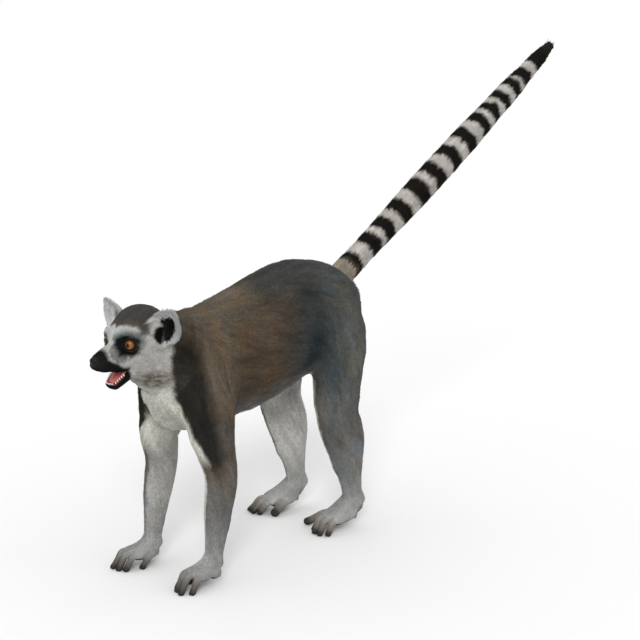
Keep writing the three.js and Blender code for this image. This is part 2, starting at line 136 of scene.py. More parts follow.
FINGERS = {
    "thumb": ((-9, -7, 13), (-12.5, -15, 12), (-13, -24, 2.5)),
    "index": ((-7.5, -22, 16.5), (-8.5, -33, 15.5), (-8, -42, 2.5)),
    "middle": ((-2, -24, 17.5), (-1.5, -37.5, 18), (-1, -47, 2.5)),
    "ring": ((4.5, -23, 17.5), (6.5, -37.5, 18), (8.5, -48.5, 2.5)),
    "little": ((10, -19, 15.5), (13.5, -30, 15), (15.5, -39, 2.5)),
}
FOOT_SOLE = [
    [0, -1, 25, 10.5, 10],
    [0, -4, 27, 12, 16],
    [-0.5, -13, 22.6, 14.2, 15],
    [0, -24, 18.6, 15.3, 12],
    [0.5, -36, 15.6, 16.3, 9.2],
]
TOES = {
    "second": ((-9, -34, 15.5), (-8.5, -48, 14.5), (-6, -58, 3.1)),
    "third": ((-3.5, -36, 16.5), (-2, -52, 16), (2, -63, 3.1)),
    "fourth": ((3.5, -35, 16.5), (6, -51, 16), (11, -62.5, 3.1)),
    "little": ((9, -31, 15), (13, -45, 14), (18, -55, 3.1)),
}
GREAT_TOE = {
    "left": ((-8, -17, 18), (-20, -34, 13.5), (-31, -51, 4.4), 1.3),
    "right": ((-8, -16, 15), (-15.5, -31, 12.5), (-21, -45, 4.8), 1.4),
}
FINGER_RADIUS, TOE_RADIUS = 4.3, 4.5
PAD_POWER = 2.5  # a superellipse's exponent: above 2, the corners of a palm or sole fill out
HAND_TURN = {"left": math.radians(-11), "right": math.radians(10)}
FOOT_TURN = {"left": math.radians(-14), "right": math.radians(19)}
HAND_PLACE = {"left": (STANCE, -157), "right": (STANCE, -156)}
FOOT_PLACE = {"left": (STANCE, 88), "right": (STANCE + 1, 91.5)}
SIDES = (("left", 1), ("right", -1))

FAR = 40.0  # the field's value where nothing is near
# The head's rounded masses, in its own frame between the eyes: place, radii, coat depth.
MASSES = [
    ((0, 32, 3), (29, 33.5, 31.5), 2.2),  # braincase
    ((0, 9, 3), (14, 17, 17), 1.2),  # forehead
    ((15.5, 11.5, 0.5), (10.5, 11, 12.5), 1.0),  # ring of the eye
    ((0, -6, -13), (12, 18, 14), 0.8),  # root of the snout
    ((0, -21, -15.4), (9.5, 15.5, 11.3), 0.6),  # snout
    ((7, -4, -22), (7.5, 16, 7.5), 0.7),  # upper lip
    ((15, 21, -12), (13, 18, 16), 1.8),  # cheek
    ((20, 29, -1), (10, 15, 15), 2.0),  # side of the head
    ((24, 33, 13), (8, 8, 10), 1.5),  # foot of the ear
]
HEAD_BLEND = 7
DETAILS = [  # place, radii and blend
    ((15.5, 7.2, 8.6), (7.5, 5.0, 3.2), 4),  # the brow's ridge
    ((6.0, -22.5, -19), (5.2, 9.8, 6.2), 3),  # pad of the whiskers
    ((0, -27.5, -12.2), (5.0, 8.5, 4.2), 3),  # under the nose's skin
]
EYE_FOLD = ((11.5, -4.5, -11.5), (7.0, 3.0, 1.2), 4)
LID_AT, LID_GIRTH, LID_OPEN = (6.2, 4.4), 1.5, 5.4  # off the eye's axis and ahead of its middle; half opening
PALATE_AT, PALATE_SIZE = (0, -12, -28.5), (7.4, 17, 5.6)
EAR_AT, EAR_TURN = np.array([36.5, 38, 14.5]), (0.12, 0, 0.2)
EAR_RADIUS, EAR_DISH, EAR_WALL = 18.2, 8, 3.4
EAR_CORNER, EAR_CORNER_WIDTH, EAR_CORNER_RISE = math.radians(58), 0.42, 5.5
JAW = [
    [0, 17, -31.5, 13, 8],
    [0, 8, -34.6, 12.4, 7.0],
    [0, -1, -39.0, 11.6, 6.4],
    [0, -9.4, -43.6, 9.6, 5.2],
]
JAW_SLOPE = np.array([0, -0.39, 0.92])
JAW_AHEAD = np.array([0, -0.92, -0.39])
LIP, MOUTH_DEPTH = 2.4, 5.4
MOUTH_BACK = 0.60  # the share of the jaw's length behind the corners of the mouth


# ---- Shapes as distance fields: negative inside, in millimetres ----
def turned(x, y, z):
    """The turn Rz * Rx * Ry."""
    return np.array(Matrix.Rotation(z, 3, "Z") @ Matrix.Rotation(x, 3, "X") @ Matrix.Rotation(y, 3, "Y"))


def unit(v):
    return v / np.maximum(np.linalg.norm(v, axis=-1, keepdims=True), 1e-9)


def length(v):
    return np.linalg.norm(v, axis=-1)


def smooth_min(a, b, k):
    h = np.maximum(k - np.abs(a - b), 0) / k
    return np.minimum(a, b) - h * h * k / 4


def smooth_max(a, b, k):
    return -smooth_min(-a, -b, k)


def step(low, high, x):
    """0 below low, 1 above high, smooth between."""
    t = np.clip((x - low) / (high - low), 0, 1)
    return t * t * (3 - 2 * t)


def fade(low, high, x):
    """1 below low, 0 above high."""
    return 1 - step(low, high, x)


def both_sides(q):
    """The points with the right side folded onto the left."""
    return np.stack([np.abs(q[:, 0]), q[:, 1], q[:, 2]], 1)


def circle(count):
    """Angles all the way round."""
    return np.arange(count) / count * 2 * np.pi


def kind_of(name):
    return name.split("_")[0]


def oval(p, at, radii):
    q = p - np.asarray(at, np.float32)
    r = np.asarray(radii, np.float32)
    near = length(q / r)
    slope = length(q / (r * r))
    return near * (near - 1) / np.maximum(slope, 1e-6)


class Tube:
    """A tube of oval sections along a smooth spine. coat is the coat's depth at its two ends."""

    def __init__(self, stations, coat, caps=(0.7, 0.7), power=2.0, steps=4):
        s = np.array(stations, float)
        padded = np.vstack([2 * s[0] - s[1], s, 2 * s[-1] - s[-2]])
        rows, tangents = [], []
        for i in range(len(s) - 1):
            p0, p1, p2, p3 = padded[i : i + 4]
            m1, m2 = (p2 - p0) / 2, (p3 - p1) / 2
            last = steps + (i == len(s) - 2)
            for t in np.arange(last) / steps:
                rows.append(
                    (2 * t**3 - 3 * t**2 + 1) * p1 + (t**3 - 2 * t**2 + t) * m1
                    + (3 * t**2 - 2 * t**3) * p2 + (t**3 - t**2) * m2
                )
                tangents.append(
                    (6 * t**2 - 6 * t) * p1 + (3 * t**2 - 4 * t + 1) * m1
                    + (6 * t - 6 * t**2) * p2 + (3 * t**2 - 2 * t) * m2
                )
        rows = np.array(rows)
        self.centre, self.half = rows[:, :3], rows[:, 3:5]
        self.along = unit(np.array(tangents)[:, :3])
        across = np.array([1.0, 0, 0])
        self.side = unit(across - self.along * (self.along @ across)[:, None])
        self.front = np.cross(self.along, self.side)
        self.caps, self.power, self.coat = caps, power, coat

    def moved(self, turn, place):
        """The same tube, turned and moved."""
        for name in ("centre", "along", "side", "front"):
            setattr(self, name, getattr(self, name) @ turn.T)
        self.centre = self.centre + place
        return self

    def box(self, margin):
        r = self.half.max(1, keepdims=True)
        return (self.centre - r).min(0) - margin, (self.centre + r).max(0) + margin

    def locate(self, p):
        """For each point: the share along the spine, and x, y, z in the section's frame there."""
        c = self.centre.astype(np.float32)
        nearest = np.empty(len(p), np.int64)
        for a in range(0, len(p), 100000):
            b = p[a : a + 100000]
            nearest[a : a + 100000] = np.argmin((c * c).sum(1) - 2 * b @ c.T, axis=1)
        ahead = ((p - c[nearest]) * self.along[nearest]).sum(1) > 0
        first = np.clip(np.where(ahead, nearest, nearest - 1), 0, len(c) - 2)
        span = c[first + 1] - c[first]
        t = ((p - c[first]) * span).sum(1) / (span * span).sum(1)
        kept = np.clip(t, 0, 1)
        off = p - (c[first] + span * kept[:, None])

        def mix(table):
            return table[first] * (1 - kept[:, None]) + table[first + 1] * kept[:, None]

        side, front, along = mix(self.side), mix(self.front), mix(self.along)
        x, y = (off * side).sum(1), (off * front).sum(1)
        z = np.where(t == kept, 0, (off * along).sum(1))
        half = mix(self.half)
        return (first + kept) / (len(c) - 1), x, y, z, half, along

    def field(self, p, coat=True):
        share, x, y, z, half, _ = self.locate(p)
        a, b = half[:, 0], half[:, 1]
        cap = np.where(z < 0, self.caps[0], self.caps[1]) * np.minimum(a, b) + 1e-3
        n = self.power
        u, v, w = np.abs(x / a) ** n, np.abs(y / b) ** n, np.abs(z / cap) ** n
        near = (u + v + w) ** (1 / n)
        slope = np.sqrt((u / np.maximum(np.abs(x), 0.05)) ** 2 + (v / np.maximum(np.abs(y), 0.05)) ** 2
                        + (w / np.maximum(np.abs(z), 0.05)) ** 2)
        slope = slope / np.maximum(near, 1e-6) ** (n - 1)
        d = (near - 1) / np.maximum(slope, 0.6 / np.maximum(a, b))
        if coat:
            d = d + self.coat[0] + (self.coat[1] - self.coat[0]) * share
        return d


def digit(root, knuckle, tip, radius):
    """A finger or toe, from its root over the knuckle to the pad of its tip."""
    root, knuckle, tip = (np.array(v, float) for v in (root, knuckle, tip))
    back, bend = root - 0.1 * (knuckle - root), knuckle + 0.55 * (tip - knuckle)
    rows = [
        [*back, radius, radius],
        [*(root + 0.5 * (knuckle - root)), radius * 0.9, radius * 0.9],
        [*knuckle, radius, radius],
        [*bend, radius * 0.82, radius * 0.85],
        [*tip, radius * 0.84, radius * 0.86],
    ]
    return Tube(rows, (0.5, 0.3), (0.6, 0.75), steps=3)


def tail_stations():
    way = np.array([
        -math.sin(TAIL_YAW) * math.cos(TAIL_RISE),
        math.cos(TAIL_YAW) * math.cos(TAIL_RISE),
        math.sin(TAIL_RISE),
    ])
    rows = []
    for i, girth in enumerate(TAIL_GIRTH):
        share = i / (len(TAIL_GIRTH) - 1)
        at = TAIL_ROOT + way * share * (TAIL_LENGTH - 6)
        rows.append([at[0], at[1], at[2] - TAIL_SAG * math.sin(math.pi * share), girth, girth])
    return rows


def legs(stations, side, shift):
    rows = []
    for x, y, z, a, b in stations:
        share = min(max((STRIDE_TOP - z) / STRIDE_FADE, 0), 1)
        rows.append([side * x, y + shift * share, z, a, b])
    return rows


def set_down(tube, side, place, turn):
    """Moves a piece of a hand or foot from its own frame to its place on the floor."""
    spin = np.array(Matrix.Rotation(turn, 3, "Z"))
    flip = np.diag([side, 1.0, 1.0])
    at = np.array([side * place[0], place[1], FLOOR - FLOOR_BITE])
    return tube.moved(flip @ spin, at)


trunk = Tube(TRUNK, TRUNK_COAT)
tail = Tube(tail_stations(), (3.2, 2.6), (0.5, 0.9))
parts = {"trunk": trunk, "tail": tail}
digits = {}
for name, side in SIDES:
    parts[f"fore_{name}"] = Tube(legs(FORELEG, side, 0), (3.0, 1.4), (0.8, 0.5))
    parts[f"hind_{name}"] = Tube(legs(HINDLEG, side, STRIDE if side < 0 else 0), (3.0, 1.6), (0.8, 0.5))
    palm = Tube(HAND_PALM, (1.2, 0.7), power=PAD_POWER)
    sole = Tube(FOOT_SOLE, (1.3, 0.7), power=PAD_POWER)
    parts[f"palm_{name}"] = set_down(palm, side, HAND_PLACE[name], HAND_TURN[name])
    parts[f"sole_{name}"] = set_down(sole, side, FOOT_PLACE[name], FOOT_TURN[name])
    for key, line in FINGERS.items():
        piece = digit(*line, FINGER_RADIUS)
        digits[f"finger_{key}_{name}"] = set_down(piece, side, HAND_PLACE[name], HAND_TURN[name])
    toes = {key: (*line, 1.0) for key, line in TOES.items()} | {"great": GREAT_TOE[name]}
    for key, (root, knuckle, tip, girth) in toes.items():
        piece = digit(root, knuckle, tip, TOE_RADIUS * girth)
        digits[f"toe_{key}_{name}"] = set_down(piece, side, FOOT_PLACE[name], FOOT_TURN[name])

HEAD_SPIN = turned(*HEAD_TURN)
EAR_SPIN = turned(*EAR_TURN)


def to_head(p):
    return (p - HEAD_PLACE) @ HEAD_SPIN


def from_head(q):
    return q @ HEAD_SPIN.T + HEAD_PLACE


def jaw_rim(share):
    """The middle of the jaw's upper side, and its half width, from its back to its tip."""
    at = min(max(share, 0), 1) * (len(JAW) - 1)
    i = min(int(at), len(JAW) - 2)
    x, y, z, across, deep = np.array(JAW[i]) + (np.array(JAW[i + 1]) - JAW[i]) * (at - i)
    return np.array([x, y, z]) + JAW_SLOPE * deep * 0.95, across


jaw_tube = Tube(JAW, (0.7, 0.5))
mouth_floor = Tube(
    [[*jaw_rim(s)[0], jaw_rim(s)[1] - LIP, MOUTH_DEPTH] for s in np.linspace(MOUTH_BACK, 1, 4)],
    (0, 0), (0.35, 0.42),
)


# ---- The head's field, in its own frame ----
def ear_frame(q):
    """The ear's own frame for points of the head's frame: its axis is y, forward is -y. Both ears at once."""
    e = (both_sides(q) - EAR_AT) @ EAR_SPIN
    rho = np.hypot(e[:, 0], e[:, 2])
    angle = np.arctan2(e[:, 2], e[:, 0])
    off = (angle - EAR_CORNER) / EAR_CORNER_WIDTH
    radius = EAR_RADIUS + EAR_CORNER_RISE * np.exp(-off * off)
    return e, rho / radius, angle, radius


def ear_field(q):
    e, share, angle, radius = ear_frame(q)
    wall = (EAR_WALL - 1.1) * (1.5 - 0.5 * np.clip(share, 0, 1.1))
    middle = EAR_WALL / 2 * (1.6 - 0.6 * np.clip(share, 0, 1.1)) - EAR_DISH * np.clip(share, 0, 1.15) ** 2.5
    ridge = 1.1 * np.exp(-((share - 0.62) / 0.10) ** 2) * step(-0.6, 0.4, np.cos(angle + 0.5))
    lean = EAR_DISH * 2.5 * np.clip(share, 0, 1.15) ** 1.5 / radius
    shell = np.abs(e[:, 1] - middle + ridge) / np.sqrt(1 + lean * lean) - wall / 2
    rim = (share - 1) * radius + 0.6
    return smooth_max(shell, rim, 1.4)


def from_eye(folded):
    """Each point of the head seen from the eyeball: its offset, how far ahead, how far off the axis."""
    eye = folded - EYE_SEEN
    depth = eye @ unit(EYE_WAY)
    return eye, depth, length(eye - depth[:, None] * unit(EYE_WAY))


def head_field(q):
    """The skin of the head, with its ears, lids, lips and jaw."""
    folded = both_sides(q)
    d = FAR
    for at, radii, coat in MASSES:
        d = smooth_min(d, oval(folded, at, radii) + coat, HEAD_BLEND)
        if at[0]:
            d = smooth_min(d, oval(folded, (-at[0], at[1], at[2]), radii) + coat, HEAD_BLEND)
    for at, radii, blend in DETAILS:
        d = smooth_min(d, oval(folded, at, radii), blend)
    at, radii, blend = EYE_FOLD
    d = smooth_max(d, -oval(folded, at, radii), blend)
    # the eye's socket, and a soft rim of lid round its opening
    eye, depth, off = from_eye(folded)
    d = smooth_min(d, np.hypot(off - LID_AT[0], depth - LID_AT[1]) - LID_GIRTH, 2.5)
    d = np.maximum(d, -(length(eye) - EYE_RADIUS - 0.15))
    d = np.maximum(d, -np.maximum(off - (LID_OPEN + 0.35 * (depth - 4.5)), 3.0 - depth))
    # the jaw, with the mouth's hollow over it and the palate's under the snout
    chin_line = (-38.0 + 0.7 * (-14 - q[:, 2]) - q[:, 1]) * 0.82
    d = smooth_max(d, chin_line, 3)
    d = smooth_min(d, jaw_tube.field(q), 4.5)
    d = smooth_max(d, -mouth_floor.field(q), 1.2)
    d = smooth_max(d, -oval(q, PALATE_AT, PALATE_SIZE), 2.0)
    return smooth_min(d, ear_field(q), 3.0)


# ---- One grid for the whole skin, fine at the head, the hands and the feet ----
def lines(*spans):
    """Grid lines from spans of (start, end, step)."""
    rows = [np.linspace(a, b, max(int(round((b - a) / s)), 1), endpoint=False) for a, b, s in spans]
    return np.concatenate([*rows, [spans[-1][1]]])


GRID = [
    lines((-92, -60, 1.8), (-60, 50, 1.45), (50, 76, 1.8)),
    lines((-281, -150, 1.3), (-150, -138, 2.2), (-138, 14, 4.2), (14, 24, 2.6), (24, 100, 1.9),
          (100, 645, 4.6)),
    lines((-1, 40, 1.3), (40, 48, 2.2), (48, 214, 4.4), (214, 222, 2.6), (222, 322, 1.45), (322, 330, 2.6),
          (330, 582, 4.6)),
]
BLENDS = {"trunk": 1, "fore": 14, "hind": 12, "tail": 8, "palm": 5, "sole": 6}
DIGIT_BLEND, FILL_BLEND, HEEL_BLEND, NECK_BLEND = 2.4, 8, 4, 9


def add_to(field, low, high, shape, blend):
    """Blends a shape's field into the grid's, inside the box from low to high."""
    span = []
    for axis, (a, b) in zip(GRID, zip(low, high)):
        i, j = np.searchsorted(axis, a), np.searchsorted(axis, b)
        span.append(slice(max(i - 1, 0), min(j + 1, len(axis))))
    x, y, z = np.meshgrid(*(axis[s] for axis, s in zip(GRID, span)), indexing="ij")
    p = np.stack([x, y, z], -1).reshape(-1, 3).astype(np.float32)
    d = shape(p).reshape(x.shape).astype(np.float32)
    field[tuple(span)] = smooth_min(field[tuple(span)], d, blend)


def body_field():
    field = np.full([len(axis) for axis in GRID], FAR, np.float32)
    for name, part in parts.items():
        add_to(field, *part.box(14), part.field, BLENDS[kind_of(name)])
    for at, radii in FILLS:
        at = np.array(at)
        add_to(field, at - 50, at + 50, lambda p: oval(p, at, radii) + TRUNK_COAT[0], FILL_BLEND)
    at, radii = HEEL_OF_HAND
    for name, side in SIDES:
        spin = np.array(Matrix.Rotation(HAND_TURN[name], 3, "Z"))
        x, y = HAND_PLACE[name]
        place = spin @ np.array(at) * [side, 1, 1] + [side * x, y, FLOOR - FLOOR_BITE]
        add_to(field, place - 16, place + 16, lambda p: oval(p, place, radii) + HEEL_COAT, HEEL_BLEND)
    for part in digits.values():
        add_to(field, *part.box(6), part.field, DIGIT_BLEND)
    low, high = HEAD_PLACE - [72, 46, 62], HEAD_PLACE + [66, 84, 60]
    add_to(field, low, high, lambda p: head_field(to_head(p)), NECK_BLEND)
    floor_cut = (FLOOR - GRID[2]).astype(np.float32)
    return np.maximum(field, floor_cut[None, None, :])


def from_grid(points):
    """Grid indices to millimetres."""
    return np.stack([np.interp(points[:, k], np.arange(len(GRID[k])), GRID[k]) for k in range(3)], 1)


# ---- Row frame ----
low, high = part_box("eye_left")
SHIFT = from_head(EYE_AT) - (np.array(low) + np.array(high)) / 2 / MM
SHIFT[2] = FLOOR


def to_row(p):
    return (np.asarray(p) - SHIFT) * MM


# ---- Meshes ----
def mesh_of(name, points, faces, smooth=True):
    """A mesh object from points in the plan's millimetres."""
    me = bpy.data.meshes.new(name)
    faces = np.asarray(faces, np.int32)
    count, sides = faces.shape
    me.vertices.add(len(points))
    me.vertices.foreach_set("co", to_row(points).astype(np.float32).ravel())
    me.loops.add(faces.size)
    me.loops.foreach_set("vertex_index", faces.ravel())
    me.polygons.add(count)
    me.polygons.foreach_set("loop_start", np.arange(0, faces.size, sides, dtype=np.int32))
    me.update(calc_edges=True)
    me.polygons.foreach_set("use_smooth", np.full(count, smooth))
    me.validate()
    ob = bpy.data.objects.new(name, me)
    bpy.context.scene.collection.objects.link(ob)
    return ob


def largest_body(points, faces):
    """Keeps the one connected skin and drops any crumbs."""
    label = np.arange(len(points))
    while True:
        low = label[faces].min(1)
        new = label.copy()
        np.minimum.at(new, faces.ravel(), np.repeat(low, faces.shape[1]))
        new = new[new]
        if (new == label).all():
            break
        label = new
    keep = label == np.bincount(label[faces[:, 0]]).argmax()
    renumber = np.cumsum(keep) - 1
    return points[keep], renumber[faces[keep[faces[:, 0]]]]


def build_skin():
    grid = openvdb.FloatGrid()
    grid.copyFromArray(body_field())
    points, quads = grid.convertToQuads(isovalue=0)
    points, quads = largest_body(from_grid(points), quads.astype(np.int64))
    return mesh_of("skin", points, quads)


skin = build_skin()

# ---- Camera: the photograph's viewing angle ----
CAMERA_AZIMUTH, CAMERA_RISE = math.radians(40.207), math.radians(11.287)
CAMERA_FAR, CAMERA_AIM = 1406.2, (150.3, -100.4, 295.8)
CAMERA_LENS = 1370.9 / 640 * 36


def build_camera():
    back = Vector((
        math.cos(CAMERA_RISE) * math.sin(CAMERA_AZIMUTH),
        -math.cos(CAMERA_RISE) * math.cos(CAMERA_AZIMUTH),
        math.sin(CAMERA_RISE),
    ))
    camera = bpy.data.objects.new("camera", bpy.data.cameras.new("camera"))
    camera.data.lens, camera.data.sensor_width = CAMERA_LENS, 36
    camera.data.clip_end = 100
    camera.location = Vector(to_row(CAMERA_AIM)) + back * CAMERA_FAR * MM
    camera.rotation_euler = back.to_track_quat("Z", "Y").to_euler()
    bpy.context.scene.collection.objects.link(camera)
    bpy.context.scene.camera = camera


build_camera()


# ---- Noise and markings: functions of place alone, shared by the skin and the coat ----
def value_noise(p, size, seed):
    """Smooth noise from 0 to 1 with features of about the given size."""
    q = np.asarray(p) / size
    cell = np.floor(q).astype(np.int64)
    t = q - cell
    t = t * t * (3 - 2 * t)
    total = 0
    for corner in range(8):
        bit = np.array([corner & 1, corner >> 1 & 1, corner >> 2 & 1])
        k = cell + bit
        h = (k[:, 0] * 73856093 ^ k[:, 1] * 19349663 ^ k[:, 2] * 83492791 ^ seed * 2654435761) & 0x7FFFFFFF
        h = (h ^ (h >> 13)) * 1274126177 & 0x7FFFFFFF
        h = (h ^ (h >> 16)) & 0xFFFF
        weight = np.prod(np.where(bit, t, 1 - t), axis=1)
        total = total + weight * h / 0xFFFF
    return total


def wobble(p, size, seed):
    """The same noise, from -0.5 to 0.5."""
    return value_noise(p, size, seed) - 0.5


def hair_noise(p):
    """Fine noise, drawn out along the body."""
    return value_noise(p * [1, 0.35, 1], 5, 12)


def spot(p, at, radii=1.0):
    """How far each point is from a place, in that spot's own radii."""
    return length((p - at) / radii)


def mix(colour, other, share):
    """other laid over colour by the share, from 0 to 1."""
    return colour + (np.asarray(other) - colour) * np.asarray(share)[:, None]


def ramp(x, places, colours):
    colours = np.array(colours)
    return np.stack([np.interp(x, places, colours[:, k]) for k in range(3)], 1)


# Albedos, linear.
WHITE = (0.46, 0.475, 0.465)
PALE = (0.55, 0.54, 0.508)
CHEEK = (0.42, 0.412, 0.385)
SMOKE = np.array([0.13, 0.136, 0.128])
BLACK = (0.0035, 0.0033, 0.003)
CHARCOAL = (0.0185, 0.0168, 0.0138)
CHEST = (0.52, 0.51, 0.457)
CROWN = (0.060, 0.057, 0.052)
HALO = (0.085, 0.105, 0.102)
OLIVE = (0.118, 0.093, 0.067)
RUFOUS = (0.098, 0.071, 0.048)
UMBER = (0.066, 0.056, 0.045)
SLATE = (0.040, 0.045, 0.045)
BLUE_GREY = (0.070, 0.077, 0.077)
# The next two are painted shade in the crease where the thigh meets the belly: its dark core and its softer
# edge.
GROIN_SHADE = (0.024, 0.031, 0.034)
FOLD_SHADE = (0.062, 0.074, 0.075)
THIGH = (0.104, 0.108, 0.102)
TAN = (0.20, 0.165, 0.115)
TAIL_WHITE = (0.47, 0.445, 0.41)
RING_BLACK = (0.009, 0.0075, 0.006)
TAIL_TIP = (0.022, 0.016, 0.012)
PINK = (0.42, 0.10, 0.10)
PALATE = (0.20, 0.045, 0.05)
GREY_BELLY = (0.13, 0.128, 0.118)
CROWN_EDGE = (0.095, 0.075, 0.055)
TEMPLE = (0.072, 0.060, 0.047)
WISP = (0.120, 0.101, 0.068)
EAR_WHITE = (0.40, 0.41, 0.405)
DIGIT_TIP = (0.035, 0.030, 0.027)
PAD = (0.022, 0.020, 0.019)
# The same along the body, as places in millimetres and the colours there.
FLANK = [-150, -95, -60, -25, 10, 60], [OLIVE, RUFOUS, RUFOUS, UMBER, SLATE, THIGH]
RIDGE = [-190, -130, -80, -45, 20, 50, 90], [
    (0.080, 0.071, 0.060), OLIVE, (0.118, 0.100, 0.078), (0.06, 0.057, 0.05), (0.06, 0.063, 0.06),
    BLUE_GREY, SLATE]
ARM = [20, 40, 75, 112, 140, 200], [
    (0.32, 0.327, 0.316), (0.25, 0.25, 0.24), (0.155, 0.154, 0.150), (0.130, 0.118, 0.104),
    (0.112, 0.092, 0.073), UMBER]
LEG = [20, 45, 80, 120, 185, 230], [
    (0.37, 0.37, 0.36), (0.28, 0.278, 0.269), (0.187, 0.189, 0.181), (0.148, 0.141, 0.129), THIGH, THIGH]
DIGIT = [0, 1], [(0.080, 0.064, 0.050), (0.140, 0.116, 0.092)]  # fingers, then toes
# The black band's edges round the front of the shoulder, by height.
BAND_FRONT = [100, 141, 167, 196, 230, 250, 270, 300], [-57, -67, -80, -95, -102.5, -101, -103, -106]
BAND_REAR = [100, 129, 164, 197, 229, 260, 295], [-63, -61, -64, -70, -77, -85, -93]
BAND_RIGHT = [160, 176, 212, 230], [-4, 7, 7, 0]  # how far the right side's band moves outward
LIP_LINE = [-22, -13.5, -5, 5, 10], [-12, -18.0, -23.5, -26.0, -28]
CROWN_FLOOR = [0, 20, 34, 45, 60], [9, 10, 12, 0, -10]
RING_CENTRES = [0.0085, 0.083, 0.143, 0.211, 0.291, 0.364, 0.442, 0.517, 0.591, 0.648, 0.707, 0.768, 0.823]
RING_SHARE = 0.55  # of the way from one ring to the next that is black


def tail_colour(p):
    share, x, y, *_ = tail.locate(p)
    s = (share * (TAIL_LENGTH - 6) - 18) / 574
    angle = np.arctan2(y, x)
    wander = np.stack([np.cos(angle) * 9, np.sin(angle) * 9, s * 574], 1)
    s = s + wobble(wander, 6, 3) * 0.012 + wobble(wander, 2.2, 4) * 0.005
    colour = np.tile(TAIL_WHITE, (len(p), 1)) * (0.93 + 0.14 * value_noise(wander, 5, 5))[:, None]
    centres = np.array([*RING_CENTRES, 0.938])
    gaps = np.gradient(centres)
    gaps[0], gaps[-1] = gaps[0] * 0.7, 0.115 / RING_SHARE
    for centre, gap in zip(centres, gaps):
        black = fade(-0.002, 0.004, np.abs(s - centre) - gap * RING_SHARE / 2)
        colour = mix(colour, RING_BLACK, black)
    colour = mix(colour, TAIL_TIP, step(0.93, 0.98, s))
    return mix(colour, TAN, fade(-0.02, 0.012, s) * 0.8)


def round_the_front(p, fine):
    """How far each point lies round the front from the chest's middle, and the black band's two edges."""
    z = p[:, 2]
    out = 0.76 * np.abs(p[:, 0] + 3 * step(150, 200, -p[:, 1])) + 0.65 * p[:, 1]
    out = out + (p[:, 0] < 0) * np.interp(z, *BAND_RIGHT)
    out = out + (fine - 0.5) * 3 + wobble(p, 12, 13) * 5
    return out, np.interp(z, *BAND_FRONT), np.interp(z, *BAND_REAR)


def black_band(p, n, colour):
    """The black band from behind the ear down the front of the shoulder and arm."""
    out, front_edge, rear_edge = round_the_front(p, hair_noise(p))
    band = fade(0, 15, out - rear_edge) * step(-4, 2, out - front_edge)
    band = band * step(110, 140, p[:, 2]) * fade(258, 288, p[:, 2] + wobble(p, 9, 14) * 12)
    return mix(colour, CHARCOAL, band * step(-0.3, 0.1, n[:, 0] * np.sign(p[:, 0])) * 0.96)


def body_colour(p, n):
    """The trunk, the neck and the legs down to the fingers and toes."""
    side = np.sign(p[:, 0])
    reach, y, z = np.abs(p[:, 0]), p[:, 1], p[:, 2]
    broad, fine = value_noise(p, 34, 11), hair_noise(p)
    y = y + (broad - 0.5) * 14
    colour = mix(ramp(y, *FLANK), ramp(y, *RIDGE), step(0.35, 0.95, n[:, 2]))
    colour = mix(colour, THIGH, step(30, 62, y) * step(175, 240, z) * 0.6)
    colour = colour * (1 - 0.22 * step(20, 60, y) * step(245, 285, z))[:, None]
    # painted shade: dark blue-grey in the crease where each thigh meets the belly
    groin_shade = spot(both_sides(p), [52, 12, 233], [24, 40, 52]) + (fine - 0.5) * 0.3
    colour = mix(colour, FOLD_SHADE, fade(0.45, 1.45, groin_shade) * 0.7)
    colour = mix(colour, GROIN_SHADE, fade(0.15, 0.9, groin_shade) * 0.85)
    # the legs
    hind = step(-20, 0, y)
    colour = mix(colour, ramp(z, *ARM), fade(168, 205, z) * (1 - hind))
    colour = mix(colour, ramp(z, *LEG), fade(160, 215, z) * hind)
    # white belly and inner sides
    trunk_under = step(0.70, 1.0, -n[:, 2] + (fine - 0.5) * 0.3) * 0.8
    grey_under = step(0.30, 0.75, -n[:, 2] + (fine - 0.5) * 0.2) * step(150, 165, z) * fade(200, 215, z)
    far = side < 0
    turn = np.where(far, -0.2 - 0.25 * hind, 0.05 + 0.15 * hind)
    inner = step(turn, turn + np.where(far, 0.65, 0.35), -n[:, 0] * side + (fine - 0.5) * 0.3)
    inner = inner * fade(235, 250, z) * step(8, 18, reach) * (0.35 + 0.65 * step(35, 85, z))
    # painted shade: the far arm's pale inner side is painted greyer than the near arm's
    inner = inner * (1 - 0.32 * far * (1 - hind))
    colour = mix(colour, GREY_BELLY, grey_under * 0.8)
    colour = mix(colour, PALE, np.maximum(trunk_under * step(100, 160, z), inner) * 0.95)
    # the white chest, up to the black band
    round_front, front_edge, _ = round_the_front(p, fine)
    front = fade(-4, 2, round_front - front_edge) * fade(-150, -130, p[:, 1]) * step(128, 150, z)
    front = front * (1 - step(-0.1, 0.5, n[:, 2]) * step(262, 285, z))
    colour = mix(colour, CHEST, front)
    # paws: pale above, brown fingers and toes, black pads
    tip = np.zeros(len(p))
    for part in digits.values():
        low, high = part.box(3)
        near = np.where(((p > low) & (p < high)).all(1))[0]
        if len(near):
            share, across, deep, _, half, _ = part.locate(p[near])
            hit = np.hypot(across, deep) < half[:, 0] + 2.5
            tip[near[hit]] = np.maximum(tip[near[hit]], share[hit])
    colour = mix(colour, ramp(y, *DIGIT), step(0.28, 0.8, tip) * 0.9)
    colour = mix(colour, DIGIT_TIP, step(0.78, 0.97, tip))
    colour = mix(colour, PAD, step(0.35, 0.75, -n[:, 2]) * fade(17, 24, z))
    return colour * (0.88 + 0.24 * broad)[:, None]


